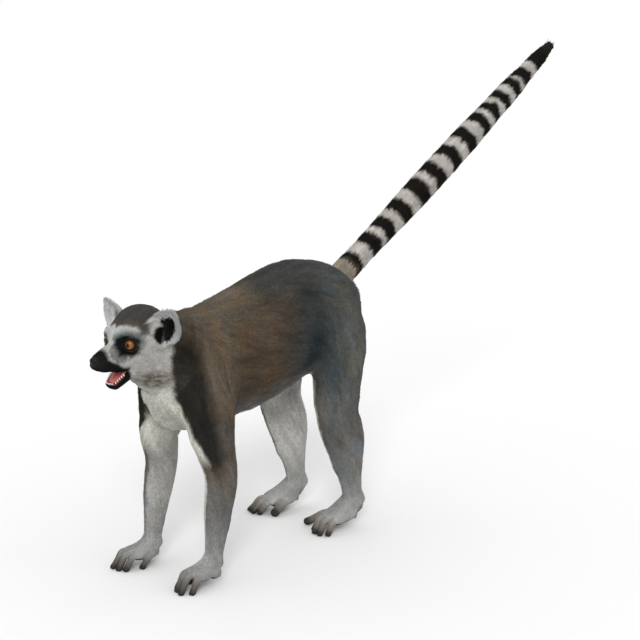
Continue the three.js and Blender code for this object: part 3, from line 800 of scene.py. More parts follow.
def head_colour(q):
    """The mask of the face, in the head's own frame."""
    folded, right = both_sides(q), q[:, 0] < 0
    reach, y, z = folded.T
    fine, broad = value_noise(q, 2.4, 21), value_noise(q, 7, 22)
    ragged = (fine - 0.5) * 2.4 + (broad - 0.5) * 3.0
    colour = np.tile(CHEEK, (len(q), 1)) * (0.92 + 0.16 * broad)[:, None]
    colour = mix(colour, WHITE, fade(14, 22, reach) * step(-4, 4, z) * fade(24, 34, y))
    # smoky sides of the snout, and the streaks on the cheek's lower edge
    smoke = spot(folded, [11, -6, -8.5], [11.5, 14, 11]) + (fine - 0.5) * 0.35
    lashes = SMOKE * (0.7 + 0.6 * fine)[:, None]
    colour = mix(colour, lashes, fade(0.65, 1.2, smoke) * 0.9)
    inner_corner = spot(q, [8, -6, -1], [7, 8, 8]) + (fine - 0.5) * 0.35
    colour = mix(colour, lashes, fade(0.6, 1.15, inner_corner) * 0.9)
    ear_foot = spot(folded, [35, 31, 6]) + ragged * 0.6 + 4 * right
    colour = mix(colour, BLACK, fade(8, 11, ear_foot))
    # crown
    back = y - (-1.5 + 0.74 * reach) + ragged * 0.7 + 3.5 * right * step(4, 12, reach)
    cap = step(-1.5, 3.0, back) * step(-2, 4, z - np.interp(y, *CROWN_FLOOR) + ragged)
    cap = cap * (1 - step(22, 28, reach + ragged) * fade(34, 42, y)) * (1 - step(50, 62, y) * 0.8)
    colour = mix(colour, CROWN, cap)
    colour = mix(colour, CROWN_EDGE, cap * fade(3, 9, back) * 0.6)
    # black patch round each eye, under a blue-grey brow
    away = folded - [14.0, 2.2, -0.4]
    above = away[:, 2] > 0
    away[:, 0] *= np.where((away[:, 0] < 0) & ~right, 0.85, 1)
    away[:, 2] *= np.where(above, 1.3, 1.08) * np.where(above & right, 1.5, 1)
    bridge = np.clip(-away[:, 0] / 6, 0, 1) * right
    eye = length(away) * (1 + 1.4 * bridge) + ragged * 0.35
    colour = mix(colour, HALO, fade(13.5, np.where(right, 19.5, 22.5), eye) * step(-2, 6, z + y * 0.3) * 0.9)
    colour = mix(colour, lashes, fade(13, 18.5, eye + (fine - 0.5) * 4) * fade(-8, 4, z) * 0.8)
    colour = mix(colour, BLACK, fade(10.6, 15.4, eye + (fine - 0.5) * 1.5))
    colour = mix(colour, TEMPLE, fade(3.5, 8.5, spot(folded, [23, 17, 13]) + ragged) * 0.85)
    # black muzzle, lips and jaw
    muzzle = fade(-4, 3.5, y + 20.5 - 0.10 * (z + 8) + ragged * 0.5)
    lips = fade(-2.5, 2, z - np.interp(y, *LIP_LINE) + ragged * 0.4) * fade(4.5, 8, y) * fade(14, 17, reach)
    chin = fade(2.0, 4.0, jaw_tube.field(q, coat=False) + ragged * 0.3)
    chin = chin * fade(4, 8, y + (fine - 0.5) * 4)
    return mix(colour, BLACK, np.maximum(np.maximum(muzzle, lips), chin))


def ear_colour(q, colour):
    """White ears with a black hollow; the right one's shows less."""
    e, share, _, _ = ear_frame(q)
    right = q[:, 0] < 0
    on_ear = fade(1.0, 3.5, ear_field(q))
    fine = value_noise(q, 1.8, 31)
    # painted light: the right ear's white is painted 30% lighter than the left ear's
    white = np.tile(EAR_WHITE, (len(q), 1)) * ((0.94 + 0.12 * fine) * (1 + 0.3 * right))[:, None]
    colour = mix(colour, white, on_ear * step(0.15, 0.5, share))
    u = (e[:, 0] - 0.8) * 0.963 - (e[:, 2] + 2.5) * 0.27
    v = (e[:, 0] - 0.8) * 0.27 + (e[:, 2] + 2.5) * 0.963
    patch = np.hypot(u / np.where(u < 0, 11.0, 7.6), v / 13.2) + (fine - 0.5) * 0.5 + 0.7 * right
    middle = EAR_WALL * 0.6 - EAR_DISH * np.clip(share, 0, 1.15) ** 2.5
    inside = step(-0.8, 0.4, middle - e[:, 1]) * step(-12, -8, e[:, 0] - 10 * right)
    low_front = step(-4, -1, -e[:, 0] - 1) * step(0, 4, 2 - e[:, 2]) * step(0, 3, 6 - e[:, 1]) * ~right
    low_front = low_front * (q[:, 2] < 16)
    return mix(colour, BLACK, fade(0.92, 1.16, patch) * np.maximum(inside, low_front) * on_ear)


def markings(p, n):
    """The coat's colour at each point, and how wet the skin is there."""
    colour = body_colour(p, n)
    rows = np.where((p[:, 1] > 90) & (p[:, 2] > 250))[0]
    on_tail = fade(1, 7, tail.field(p[rows])) * step(-6, 2, trunk.field(p[rows], coat=False))
    colour[rows] = mix(colour[rows], tail_colour(p[rows]), on_tail)
    q = to_head(p)
    near_head = spot(q, [0, 15, -5]) < 75
    off_head = np.where(~near_head & (p[:, 1] < -90))[0]
    colour[off_head] = black_band(p[off_head], n[off_head], colour[off_head])
    rows = np.where(near_head)[0]
    h = q[rows]
    # the head ends behind the cheeks and the crown; the neck's own colours begin there
    nape = h[:, 1] + 0.75 * np.minimum(h[:, 2] + 22, 0) + wobble(h, 6, 24) * 6
    face = fade(36, 50, nape) * step(-52, -38, h[:, 2] + h[:, 1] * 0.3)
    near_jaw = fade(2, 5, jaw_tube.field(h, coat=False)) * fade(8, 16, h[:, 1])
    tone = mix(colour[rows], head_colour(h), np.maximum(face, near_jaw))
    # olive wisps under the cheek
    wisps = value_noise(h * [0.8, 0.35, 1.6], 2.6, 25)
    shade = fade(0.35, 1.15, spot(both_sides(h), [28, 24, -43], [30, 28, 14])) * step(-10, 2, h[:, 1])
    tone = mix(tone, WISP, shade * (0.42 + 0.5 * step(0.25, 0.6, wisps)))
    tone = ear_colour(h, black_band(p[rows], n[rows], tone))
    pink = fade(0.2, 0.9, mouth_floor.field(h))
    palate = fade(0.1, 0.8, oval(h, PALATE_AT, PALATE_SIZE))
    tone = mix(tone, PALATE, palate * (h[:, 2] > -34))
    colour[rows] = mix(tone, PINK, pink)
    wet = np.zeros(len(p))
    wet[rows] = np.maximum(pink, palate)
    return np.clip(colour, 0.002, 0.9), wet


def normals_of(ob):
    n = np.empty(len(ob.data.vertices) * 3, np.float32)
    ob.data.vertices.foreach_get("normal", n)
    return n.reshape(-1, 3)


def places_of(ob):
    """The mesh's points in the plan's millimetres."""
    co = np.empty(len(ob.data.vertices) * 3, np.float32)
    ob.data.vertices.foreach_get("co", co)
    return co.reshape(-1, 3).astype(float) / MM + SHIFT


def paint(me, name, values, kind="FLOAT"):
    layer = me.attributes.new(name, kind, "POINT")
    if kind == "FLOAT_COLOR":
        values = np.hstack([values, np.ones((len(values), 1))])
        layer.data.foreach_set("color", values.astype(np.float32).ravel())
    else:
        layer.data.foreach_set("value", values.astype(np.float32).ravel())


# ---- Materials ----
NOISE_SPAN = (0.3, 0.7)  # where most of a noise texture's values lie


def shader_of(name):
    look = bpy.data.materials.new(name)
    look.use_nodes = True
    return look, look.node_tree, look.node_tree.nodes["Principled BSDF"]


def feed(tree, made, settings):
    """Gives a node's inputs, by name or number, their values or the sockets that drive them."""
    for key, value in settings.items():
        if isinstance(value, bpy.types.NodeSocket):
            tree.links.new(value, made.inputs[key])
        else:
            made.inputs[key].default_value = value


def node(tree, kind, settings, **options):
    """Adds a node, feeds its inputs, and returns its outputs."""
    made = tree.nodes.new(kind)
    for key, value in options.items():
        setattr(made, key, value)
    feed(tree, made, settings)
    return made.outputs


def noise(tree, scale, detail):
    """A noise texture in the piece's own frame, its features about 1 / scale metres wide."""
    place = node(tree, "ShaderNodeTexCoord", {})["Object"]
    return node(tree, "ShaderNodeTexNoise", {"Scale": scale, "Detail": detail, "Vector": place})["Fac"]


def ranged(tree, source, low, high, from_low=0.0, from_high=1.0):
    settings = {"Value": source, "From Min": from_low, "From Max": from_high, "To Min": low, "To Max": high}
    return node(tree, "ShaderNodeMapRange", settings)["Result"]


def mottled(tree, tone, source, low, high):
    """The tone, times the noise drawn out to low and high."""
    return times(tree, tone, ranged(tree, source, low, high, *NOISE_SPAN))


def times(tree, colour, value):
    return node(tree, "ShaderNodeVectorMath", {0: colour, "Scale": value}, operation="SCALE")[0]


def attribute(tree, name, output="Fac"):
    return node(tree, "ShaderNodeAttribute", {}, attribute_name=name)[output]


def bump(tree, height, strength, distance):
    settings = {"Strength": strength, "Distance": distance, "Height": height}
    return node(tree, "ShaderNodeBump", settings)["Normal"]


def coat_look():
    """Tufts: the coat's colour, each tuft a little lighter or darker, with painted shade at its root and a
    painted sheen towards its tip.
    """
    look, tree, shader = shader_of("coat")
    strand = attribute(tree, "strand")
    tone = times(tree, attribute(tree, "coat", "Color"), ranged(tree, strand, 0.84, 1.16))
    # painted shade and sheen: each tuft darker towards its root and lighter towards its tip, by its height
    tone = times(tree, tone, ranged(tree, attribute(tree, "height"), 0.70, 1.16))
    feed(tree, shader, {"Base Color": mottled(tree, tone, noise(tree, 420, 2), 0.82, 1.18),
                        "Roughness": ranged(tree, strand, 0.62, 0.82), "Specular IOR Level": 0.06})
    return look


def skin_look():
    """Skin under the coat: the same colours, with short hairs as bump, and smooth where it is wet."""
    look, tree, shader = shader_of("skin")
    hairs, pores = noise(tree, 900, 4), noise(tree, 300, 3)
    both = node(tree, "ShaderNodeMath", {0: hairs, 1: pores}, operation="ADD")[0]
    feed(tree, shader, {"Base Color": mottled(tree, attribute(tree, "coat", "Color"), hairs, 0.72, 1.12),
                        "Roughness": ranged(tree, attribute(tree, "wet"), 0.75, 0.22),
                        "Normal": bump(tree, both, 0.55, 0.0006), "Specular IOR Level": 0.2})
    return look


def dress(ob, look):
    ob.data.materials.clear()
    ob.data.materials.append(look)
    return ob


COAT_LOOK, SKIN_LOOK = coat_look(), skin_look()
skin_points, skin_normals = places_of(skin), normals_of(skin)
skin_colour, skin_wet = markings(skin_points, skin_normals)
paint(skin.data, "coat", skin_colour, "FLOAT_COLOR")
paint(skin.data, "wet", skin_wet)
dress(skin, SKIN_LOOK)


# ---- The coat: solid tufts that lie along the body ----
MOST_TUFTS = 49900  # in one piece, four triangles each
PATCH = np.array([[-1.5, -1.5], [1.5, -1.5], [0, 0.2], [0, 1.5]]) * 0.001  # a tuft's own bit of the unwrap
GROUPS = ["head", "front", "rear", "tail", "fore_left", "fore_right", "hind_left", "hind_right"]
TUFTS = dict(zip(GROUPS, [48500, 47000, 45000, 48500, 36000, 36000, 44000, 44000]))
LIMBS = {"fore": "fore", "palm": "fore", "finger": "fore", "hind": "hind", "sole": "hind", "toe": "hind"}
#        length, width, rise of the tip, tufts for one area
SIZES = {
    "trunk": ((9.0, 1.1, 3.0, 1.0), (8.5, 1.05, 2.4, 1.0)),
    "tail": ((10.5, 1.25, 2.6, 1.0), (11.0, 1.25, 3.2, 1.0)),
    "fore": ((8.5, 1.1, 2.3, 0.9), (4.0, 0.8, 1.1, 1.6)),
    "hind": ((8.5, 1.1, 2.4, 0.9), (4.0, 0.8, 1.2, 1.6)),
    "palm": ((3.4, 0.7, 0.8, 1.8), (2.4, 0.6, 0.5, 2.2)),
    "sole": ((3.6, 0.7, 0.9, 1.8), (2.4, 0.6, 0.5, 2.2)),
    "finger": ((2.0, 0.5, 0.45, 2.0), (1.4, 0.45, 0.3, 2.0)),
    "toe": ((2.0, 0.5, 0.45, 2.0), (1.4, 0.45, 0.3, 2.0)),
}
HEAD_SIZES = {  # how far back along the head, then the four sizes there
    "y": [-36, -18, -2, 12, 34, 60],
    "rows": [(1.1, 0.36, 0.22, 3.0), (1.6, 0.42, 0.32, 3.0), (2.3, 0.5, 0.5, 2.8), (3.2, 0.62, 0.8, 2.2),
             (4.6, 0.75, 1.2, 1.6), (6.0, 0.9, 1.6, 1.3)],
}
EAR_SIZES = (2.6, 0.5, 0.45, 2.6)
DOWN, BACK = np.array([0, 0, -1.0]), np.array([0, 1.0, 0])


def lie_of(p, n):
    """For each point of the skin: its group, the way the hair lies, its sizes, and its unwrapped place."""
    count = len(p)
    best = np.full(count, 99.0)
    weight = np.zeros(count)
    way, sizes, uv = np.zeros((count, 3)), np.zeros((count, 4)), np.zeros((count, 2))
    group = np.zeros(count, np.int64)
    for row, (name, part) in enumerate((parts | digits).items()):
        low, high = part.box(12)
        near = np.where(((p > low) & (p < high)).all(1))[0]
        share, x, y, z, half, along = part.locate(p[near])
        d = np.hypot(x / half[:, 0], y / half[:, 1]) * half.min(1) - half.min(1) + np.abs(z)
        kind = kind_of(name)
        if kind == "trunk":
            flow = -along + DOWN * (0.55 * (1 - n[near, 2] ** 2) * step(-0.9, 0.2, n[near, 2]))[:, None]
        elif kind in ("fore", "hind"):
            flow = along + BACK * 0.3
        else:
            flow = along
        root, end = np.array(SIZES[kind])
        size = root + (end - root) * share[:, None]
        w = np.exp(-np.clip(d + 3, 0, 60) / 3.5) + 1e-9
        way[near] += unit(flow) * w[:, None]
        sizes[near] += size * w[:, None]
        weight[near] += w
        first = d < best[near]
        hit = near[first]
        best[hit] = d[first]
        side = "left" if name.endswith("left") else "right"
        if kind == "trunk":
            group[hit] = np.where(p[hit, 1] < -62, 1, 2)
        elif kind == "tail":
            group[hit] = 3
        else:
            group[hit] = GROUPS.index(f"{LIMBS[kind]}_{side}")
        turn = np.arctan2(x, y)[first] / (2 * np.pi) + 0.5
        band = {"trunk": (0, 1), "tail": (0, 1), "fore": (0, 0.55), "hind": (0, 0.55), "palm": (0.56, 0.7),
                "sole": (0.56, 0.7)}.get(kind)
        if band is None:
            slot = 0.71 + 0.056 * (row % 5)
            band = (slot, slot + 0.052)
        low, high = band
        uv[hit] = np.stack([0.01 + 0.98 * share[first], low + (high - low) * (0.01 + 0.98 * turn)], 1)
    way /= np.maximum(weight, 1e-9)[:, None]
    sizes /= np.maximum(weight, 1e-9)[:, None]
    # the head's hair runs away from the nose, and the ears' out from their roots
    q = to_head(p)
    behind = q[:, 1] + 0.6 * np.minimum(q[:, 2] + 24, 0)
    share = fade(40, 56, behind) * (length(q - [0, 10, -8]) < 80) * step(-62, -50, q[:, 2])
    flow = unit(q - [0, -40, -8]) + [0, 0, -0.15]
    e, out, _, _ = ear_frame(q)
    mirror = np.where((q[:, 0] < 0)[:, None], [-1.0, 1, 1], [1.0, 1, 1])
    ear = fade(0.8, 3.0, ear_field(q)) * step(0.1, 0.4, out)
    radial = (e * [1, 0, 1] - [0, 2, 0]) @ EAR_SPIN.T * mirror
    flow = flow * (1 - ear)[:, None] + unit(radial) * ear[:, None]
    table = np.array(HEAD_SIZES["rows"])
    head_sizes = np.stack([np.interp(q[:, 1], HEAD_SIZES["y"], table[:, k]) for k in range(4)], 1)
    head_sizes = head_sizes + (np.array(EAR_SIZES) - head_sizes) * ear[:, None]
    way = way * (1 - share)[:, None] + (unit(flow) @ HEAD_SPIN.T) * share[:, None]
    sizes = sizes + (head_sizes - sizes) * share[:, None]
    on_head = share > 0.5
    group[on_head] = 0
    around = np.arctan2(q[:, 0], -q[:, 1] + 12) / (2 * np.pi) + 0.5
    level = np.arctan2(q[:, 2] + 8, np.hypot(q[:, 0], q[:, 1] - 12)) / np.pi + 0.5
    folded_ear = ear > 0.5
    wide = np.where(q[:, 0] < 0, 0.13, 0.38) + e[:, 0] / 26 * 0.11
    face = np.where(e[:, 1] < 0.5, 0.0, 0.5)
    head_uv = np.where(folded_ear[:, None], np.stack([wide + face, 0.88 + e[:, 2] / 26 * 0.1], 1),
                       np.stack([around, level * 0.76], 1))
    uv[on_head] = head_uv[on_head]
    # bare: pads, the mouth, the nose and the edges of the lids
    bare = step(0.3, 0.6, -n[:, 2]) * fade(14, 20, p[:, 2])
    mouth = np.minimum(mouth_floor.field(q), oval(q, PALATE_AT, PALATE_SIZE))
    bare = np.maximum(bare, fade(0.6, 1.4, mouth) * on_head)
    bare = np.maximum(bare, fade(1.0, 2.2, oval(q, NOSE_AT, NOSE_SIZE)))
    _, depth, off = from_eye(both_sides(q))
    bare = np.maximum(bare, fade(6.6, 7.6, off) * (depth > 0))
    return group, way, sizes, uv, bare


def tangent(v, n):
    return unit(v - n * (v * n).sum(1)[:, None])


def place_roots():
    """Seeded roots on the skin, so many for each group, denser where the tufts are small."""
    me = skin.data
    quads = np.empty(len(me.polygons) * 4, np.int32)
    me.polygons.foreach_get("vertices", quads)
    quads = quads.reshape(-1, 4)
    corners = skin_points[quads]
    area = length(np.cross(corners[:, 2] - corners[:, 0], corners[:, 3] - corners[:, 1])) / 2
    middle, facing = corners.mean(1), unit(skin_normals[quads].mean(1))
    group, _, sizes, _, bare = lie_of(middle, facing)
    want = area * sizes[:, 3] * (bare < 0.6)
    chosen = []
    for k, name in enumerate(GROUPS):
        mine = np.where(group == k)[0]
        share = np.cumsum(want[mine])
        # one root in each equal step of area keeps the coat even
        marks = (np.arange(TUFTS[name]) + rng.random(TUFTS[name])) / TUFTS[name] * share[-1]
        chosen.append(mine[np.minimum(np.searchsorted(share, marks), len(mine) - 1)])
    chosen = np.concatenate(chosen)
    u, v = rng.random(len(chosen)), rng.random(len(chosen))
    w = np.stack([(1 - u) * (1 - v), u * (1 - v), u * v, (1 - u) * v], 1)[:, :, None]
    p = (corners[chosen] * w).sum(1)
    n = unit((skin_normals[quads[chosen]] * w).sum(1))
    return p, n


def build_coat():
    p, n = place_roots()
    group, way, sizes, uv, bare = lie_of(p, n)
    keep = bare < 0.5
    p, n, group, way, sizes, uv = p[keep], n[keep], group[keep], way[keep], sizes[keep], uv[keep]
    count = len(p)
    clump = wobble(p, 7, 41)
    turn = clump * 0.55 + wobble(p, 24, 42) * 0.5 + rng.normal(0, 0.10, count)
    d = tangent(way + rng.normal(0, 0.02, (count, 3)), n)
    s = np.cross(n, d)
    d, s = (d * np.cos(turn)[:, None] + s * np.sin(turn)[:, None],
            s * np.cos(turn)[:, None] - d * np.sin(turn)[:, None])
    long = sizes[:, 0] * rng.uniform(0.7, 1.2, count) * (1 + 0.25 * clump)
    # the markings lie where the hair shows, which is past the middle of a tuft
    colour, _ = markings(p + d * (long * 0.55)[:, None], n)
    streaks = sum(value_noise(p + d * k, 3.2, 43) for k in (-8, -4, 0, 4, 8)) / 5
    mottle = sum(value_noise(p + d * k, 9, 44) for k in (-12, 0, 12)) / 3
    size = step(1.0, 5.5, long)[:, None]
    colour = colour * (1 + size * ((streaks - 0.5) * 0.9 + (mottle - 0.5) * 0.7)[:, None])
    warm = wobble(p, 15, 45)[:, None] * np.array([0.22, 0.0, -0.26]) * size
    warm = warm * fade(0.15, 0.4, colour.mean(1))[:, None]
    colour = np.clip(colour * (1 + warm), 0.002, 0.9)
    width = sizes[:, 1] * rng.uniform(0.7, 1.25, count)
    rise = sizes[:, 2] * rng.uniform(0.45, 1.05, count) * (1 + 0.5 * clump)
    points = np.empty((count, 4, 3))
    points[:, 0] = p - s * (width / 2)[:, None] - n * 0.25
    points[:, 1] = p + s * (width / 2)[:, None] - n * 0.25
    points[:, 2] = p + d * (long * 0.4)[:, None] + n * (rise * 0.62 + width * 0.25)[:, None]
    points[:, 3] = p + d * long[:, None] + n * rise[:, None]
    own = unit(np.cross(points[:, 3] - points[:, 0], points[:, 3] - points[:, 1]))
    own *= np.sign((own * n).sum(1))[:, None]
    bent = unit(n * 0.75 + own * 0.45 + d * 0.12)
    normals = np.stack([unit(bent - s * 0.25), unit(bent + s * 0.25), bent, bent], 1)
    # each point's height along its tuft, which the coat's material turns into painted shade at the root and a
    # painted sheen at the tip
    height = np.tile([0.0, 0.0, 0.62, 1.0], (count, 1))
    strand = np.repeat(np.clip(0.5 + rng.normal(0, 0.22, count) + clump * 0.5, 0, 1), 4).reshape(count, 4)
    sides = np.array([[0, 2, 1], [1, 2, 3], [3, 2, 0], [0, 1, 3]])
    pieces = []
    for k, name in enumerate(GROUPS):
        mine = np.where(group == k)[0][:MOST_TUFTS]
        faces = (np.arange(len(mine))[:, None, None] * 4 + sides).reshape(-1, 3)
        ob = mesh_of(f"coat_{name}", points[mine].reshape(-1, 3), faces)
        me = ob.data
        paint(me, "coat", np.repeat(colour[mine], 4, 0), "FLOAT_COLOR")
        paint(me, "height", height[mine].ravel())
        paint(me, "strand", strand[mine].ravel())
        layer = me.uv_layers.new(name="OFBake")
        spots = (np.clip(uv[mine], 0.002, 0.998)[:, None, :] + PATCH).reshape(-1, 2)
        layer.data.foreach_set("uv", spots[faces].astype(np.float32).ravel())
        me.normals_split_custom_set_from_vertices(normals[mine].reshape(-1, 3).astype(np.float32).tolist())
        pieces.append(dress(ob, COAT_LOOK))
    return pieces


coat = build_coat()


# ---- Eyes, lids, nose, tongue, teeth and nails ----
def shell_of(name, rows, closed=True):
    """A lofted mesh from rings of points, with each end drawn to its ring's middle."""
    rows = [np.asarray(r) for r in rows]
    count, around = len(rows), len(rows[0])
    points = np.concatenate([*rows, rows[0].mean(0, keepdims=True), rows[-1].mean(0, keepdims=True)])
    sides = [(j, (j + 1) % around) for j in range(around)]
    last = (count - 1) * around
    faces = [(i + j, i + k, i + around + k, i + around + j) for i in range(0, last, around) for j, k in sides]
    if closed:
        for j, k in sides:
            faces += [(count * around, k, j), (count * around + 1, last + j, last + k)]
    me = bpy.data.meshes.new(name)
    me.from_pydata([tuple(v) for v in to_row(points)], [], faces)
    me.validate()
    for face in me.polygons:
        face.use_smooth = True
    ob = bpy.data.objects.new(name, me)
    bpy.context.scene.collection.objects.link(ob)
    return ob


def frame_round(way):
    """Two unit vectors square to way: sideways, then up."""
    way = unit(np.array(way, float))
    across = unit(np.cross([0, 0, 1.0], way))
    return way, across, np.cross(way, across)


def join(name, group):
    """Joins objects into one piece."""
    bpy.ops.object.select_all(action="DESELECT")
    for ob in group:
        ob.select_set(True)
    bpy.context.view_layer.objects.active = group[0]
    bpy.ops.object.join()
    group[0].name = group[0].data.name = name
    return group[0]


def build_eye(name, side):
    """An eyeball with its cornea, the iris painted round the way it looks."""
    way, across, up = frame_round(GAZE * [side, 1, 1])
    centre = EYE_SEEN * [side, 1, 1]
    rings, tilts, turns = [], [], []
    turn = circle(72)
    for tilt in np.radians(np.concatenate([np.linspace(1.2, 70, 44), np.linspace(75, 176, 18)])):
        bulge = 0.55 * fade(0, math.radians(52), tilt)
        radius = EYE_RADIUS - 0.12 + bulge
        ring = centre + radius * (np.cos(tilt) * way + np.sin(tilt) * (
            np.cos(turn)[:, None] * across + np.sin(turn)[:, None] * up))
        rings.append(from_head(ring))
        # the pupil is taller than it is wide
        tilts.append(math.degrees(tilt) - 8 * np.sin(turn) ** 2 * fade(12, 45, math.degrees(tilt)))
        turns.append(turn)
    ob = shell_of(f"eyeball_{name}", rings)
    tilts = np.concatenate([*tilts, [0, 180]])
    turns = np.concatenate([*turns, [0, 0]])
    paint(ob.data, "tilt", tilts)
    spoke = np.stack([np.cos(turns), np.sin(turns), 0 * turns], 1)
    streak = 0.6 * value_noise(spoke * 9 + [0, 0, side], 1, 51) + 0.4 * value_noise(spoke * 22, 1, 52)
    paint(ob.data, "streak", streak)
    return ob


def eye_look():
    look, tree, shader = shader_of("eye")
    streak = attribute(tree, "streak")
    spread = {0: streak, 1: 5.0, 2: attribute(tree, "tilt")}
    ragged = node(tree, "ShaderNodeMath", spread, operation="MULTIPLY_ADD")[0]
    rings = tree.nodes.new("ShaderNodeValToRGB")
    feed(tree, rings, {"Fac": ranged(tree, ragged, 0, 1, 0, 100)})
    stops = [
        (0.0, (0.003, 0.002, 0.002)), (0.125, (0.003, 0.002, 0.002)), (0.15, (0.10, 0.028, 0.004)),
        (0.24, (0.26, 0.080, 0.002)), (0.40, (0.27, 0.078, 0.002)), (0.56, (0.14, 0.036, 0.001)),
        (0.66, (0.06, 0.014, 0.001)), (0.74, (0.010, 0.005, 0.003)), (1.0, (0.010, 0.005, 0.003)),
    ]
    made = rings.color_ramp.elements
    for place, _ in stops[1:-1]:
        made.new(place)
    for element, (place, colour) in zip(sorted(made, key=lambda e: e.position), stops):
        element.position = place
        element.color = (*colour, 1)
    tone = times(tree, rings.outputs["Color"], ranged(tree, streak, 0.72, 1.25))
    feed(tree, shader, {"Base Color": mottled(tree, tone, noise(tree, 1500, 3), 0.8, 1.2),
                        "Roughness": 0.35, "Specular IOR Level": 0.05,
                        "Coat Weight": 0.7, "Coat Roughness": 0.03, "Coat IOR": 1.38})
    return look


def build_lids(name, side):
    """The black rim of the lids, a rounded ring that hugs the eyeball, drawn to a corner at each end."""
    way, across, up = frame_round(EYE_WAY * [side, 1, 1])
    centre = EYE_SEEN * [side, 1, 1]
    rings = []
    for turn in circle(80):
        corner = 0.12 * np.abs(np.cos(turn)) ** 6
        open_to = 4.4 + corner + 0.15 * np.sin(turn)
        out = np.cos(turn) * across + np.sin(turn) * up
        section = []
        for a in circle(14):
            off = open_to + 1.15 + 1.15 * np.cos(a)
            depth = np.sqrt(max(EYE_RADIUS ** 2 - min(off, 6.2) ** 2, 4.0)) + 0.10 + 0.62 * np.sin(a)
            section.append(centre + out * off + way * depth)
        rings.append(from_head(np.array(section)))
    return shell_of(f"lids_{name}", [*rings, rings[0]], closed=False)


def skin_like(name, colour, roughness, scale, strength, distance, mottle=0.25, wet=0.0, shine=0.5):
    """Bare skin, horn or enamel: one colour, mottled, with fine bumps."""
    look, tree, shader = shader_of(name)
    spots, broad = noise(tree, scale, 4), noise(tree, scale / 5, 2)
    tone = mottled(tree, colour, spots, 1 - mottle, 1 + mottle)
    feed(tree, shader, {"Base Color": mottled(tree, tone, broad, 1 - mottle, 1 + mottle),
                        "Roughness": ranged(tree, broad, roughness - 0.06, roughness + 0.08),
                        "Normal": bump(tree, spots, strength, distance), "Specular IOR Level": shine})
    if wet:
        feed(tree, shader, {"Coat Weight": wet, "Coat Roughness": 0.12})
    return look


def field_mesh(name, low, high, step_mm, shape):
    """A closed mesh of a field of head points, on its own fine grid."""
    axes = [np.arange(a, b + step_mm, step_mm) for a, b in zip(low, high)]
    x, y, z = np.meshgrid(*axes, indexing="ij")
    field = shape(np.stack([x, y, z], -1).reshape(-1, 3)).reshape(x.shape).astype(np.float32)
    grid = openvdb.FloatGrid()
    grid.background = 10.0
    grid.copyFromArray(field)
    points, quads = grid.convertToQuads(isovalue=0)
    points, quads = largest_body(np.asarray(points, float), quads.astype(np.int64))
    return mesh_of(name, from_head(points * step_mm + low), quads)


def nose_field(q):
    """The bare nose: a rounded pad with two comma nostrils and a groove down its middle."""
    folded = both_sides(q)
    d = oval(q, NOSE_AT + [0, 1.5, 0.7], NOSE_SIZE * [0.98, 0.94, 0.90])
    d = smooth_min(d, oval(folded, NOSE_AT + [2.4, 2.4, 0.2], (2.6, 3.4, 3.1)), 2)
    nostril = oval(folded, NOSE_AT + [2.1, -1.9, -0.5], (0.95, 2.4, 0.8))
    wing = oval(folded, NOSE_AT + [3.5, -0.4, 0.4], (0.7, 2.4, 0.55))
    d = smooth_max(d, -smooth_min(nostril, wing, 0.6), 0.5)
    groove = np.hypot(q[:, 0] / 0.32, np.maximum(q[:, 2] - NOSE_AT[2] + 0.5, 0) / 1.2) - 1
    ahead = step(-1.5, -3.0, q[:, 1] - NOSE_AT[1])
    return smooth_max(d, -(groove * 0.3 + 3 * (1 - ahead)), 0.4)


def jaw_place(share, x, up):
    """A point over the jaw's rim: share from the mouth's back to its tip, x of the hollow's half width."""
    rim, across = jaw_rim(MOUTH_BACK + (1 - MOUTH_BACK) * share)
    return rim + [x * (across - LIP), 0, 0] + JAW_SLOPE * up, across - LIP


def build_tongue():
    rings = []
    for t in np.linspace(0, 1, 26):
        share = -0.55 + 1.52 * t
        mid, half = jaw_place(share, 0, 0)
        across = max((half - 1.3) * (1 - 0.12 * t) * np.sqrt(max(1 - ((t - 0.45) / 0.56) ** 6, 0.02)), 0.5)
        lift = -2.9 + 1.6 * t * (1 - t) + 1.4 * (1 - t) ** 2
        ring = []
        for a in circle(28):
            x = across * np.cos(a)
            up = (1.5 if np.sin(a) > 0 else 1.2) * np.sin(a) * min(1, across / 3)
            groove = -0.55 * np.exp(-(x / 1.1) ** 2) * (np.sin(a) > 0) * (1 - 0.5 * t)
            edge = 0.5 * (x / max(across, 0.1)) ** 2
            ring.append(mid + np.array([x, 0, 0]) + JAW_SLOPE * (lift + up + groove + edge))
        rings.append(from_head(np.array(ring)))
    return shell_of("tongue_skin", rings)


def tooth(at, way, across, width, height, point):
    """A small crown: oval at the gum, drawn to a blunt point."""
    way, across = unit(np.array(way, float)), unit(np.array(across, float))
    along = np.cross(way, across)
    rings = []
    for t in (0, 0.35, 0.7, 0.9, 1.0):
        r = (1 - t ** 2.2 * point) * (1.0 if t < 1 else 0.55)
        ring = [at + way * height * (t - 0.25) + across * width * 0.40 * r * math.cos(a)
                + along * width * 0.5 * r * math.sin(a) for a in circle(10)]
        rings.append(from_head(np.array(ring)))
    return shell_of("tooth", rings)


def build_teeth():
    made = []
    for side in (1, -1):
        for i, share in enumerate(np.linspace(0.0, 0.98, 5)):
            at, _ = jaw_place(share, 0.92 * side, -1.3)
            made.append(tooth(at, JAW_SLOPE, (1, 0, 0), 2.0 - 0.1 * i, 2.9 - 0.1 * i, 0.42))
    for x in (-0.66, -0.4, -0.13, 0.13, 0.4, 0.66):
        at, _ = jaw_place(1, x, -1.2)
        ahead = JAW_AHEAD * (3.2 * math.sqrt(1 - x * x))
        made.append(tooth(at + ahead, JAW_SLOPE + np.array([0, -0.35, 0]), (1, 0, 0), 1.25, 2.2, 0.35))
    return join("teeth", made)


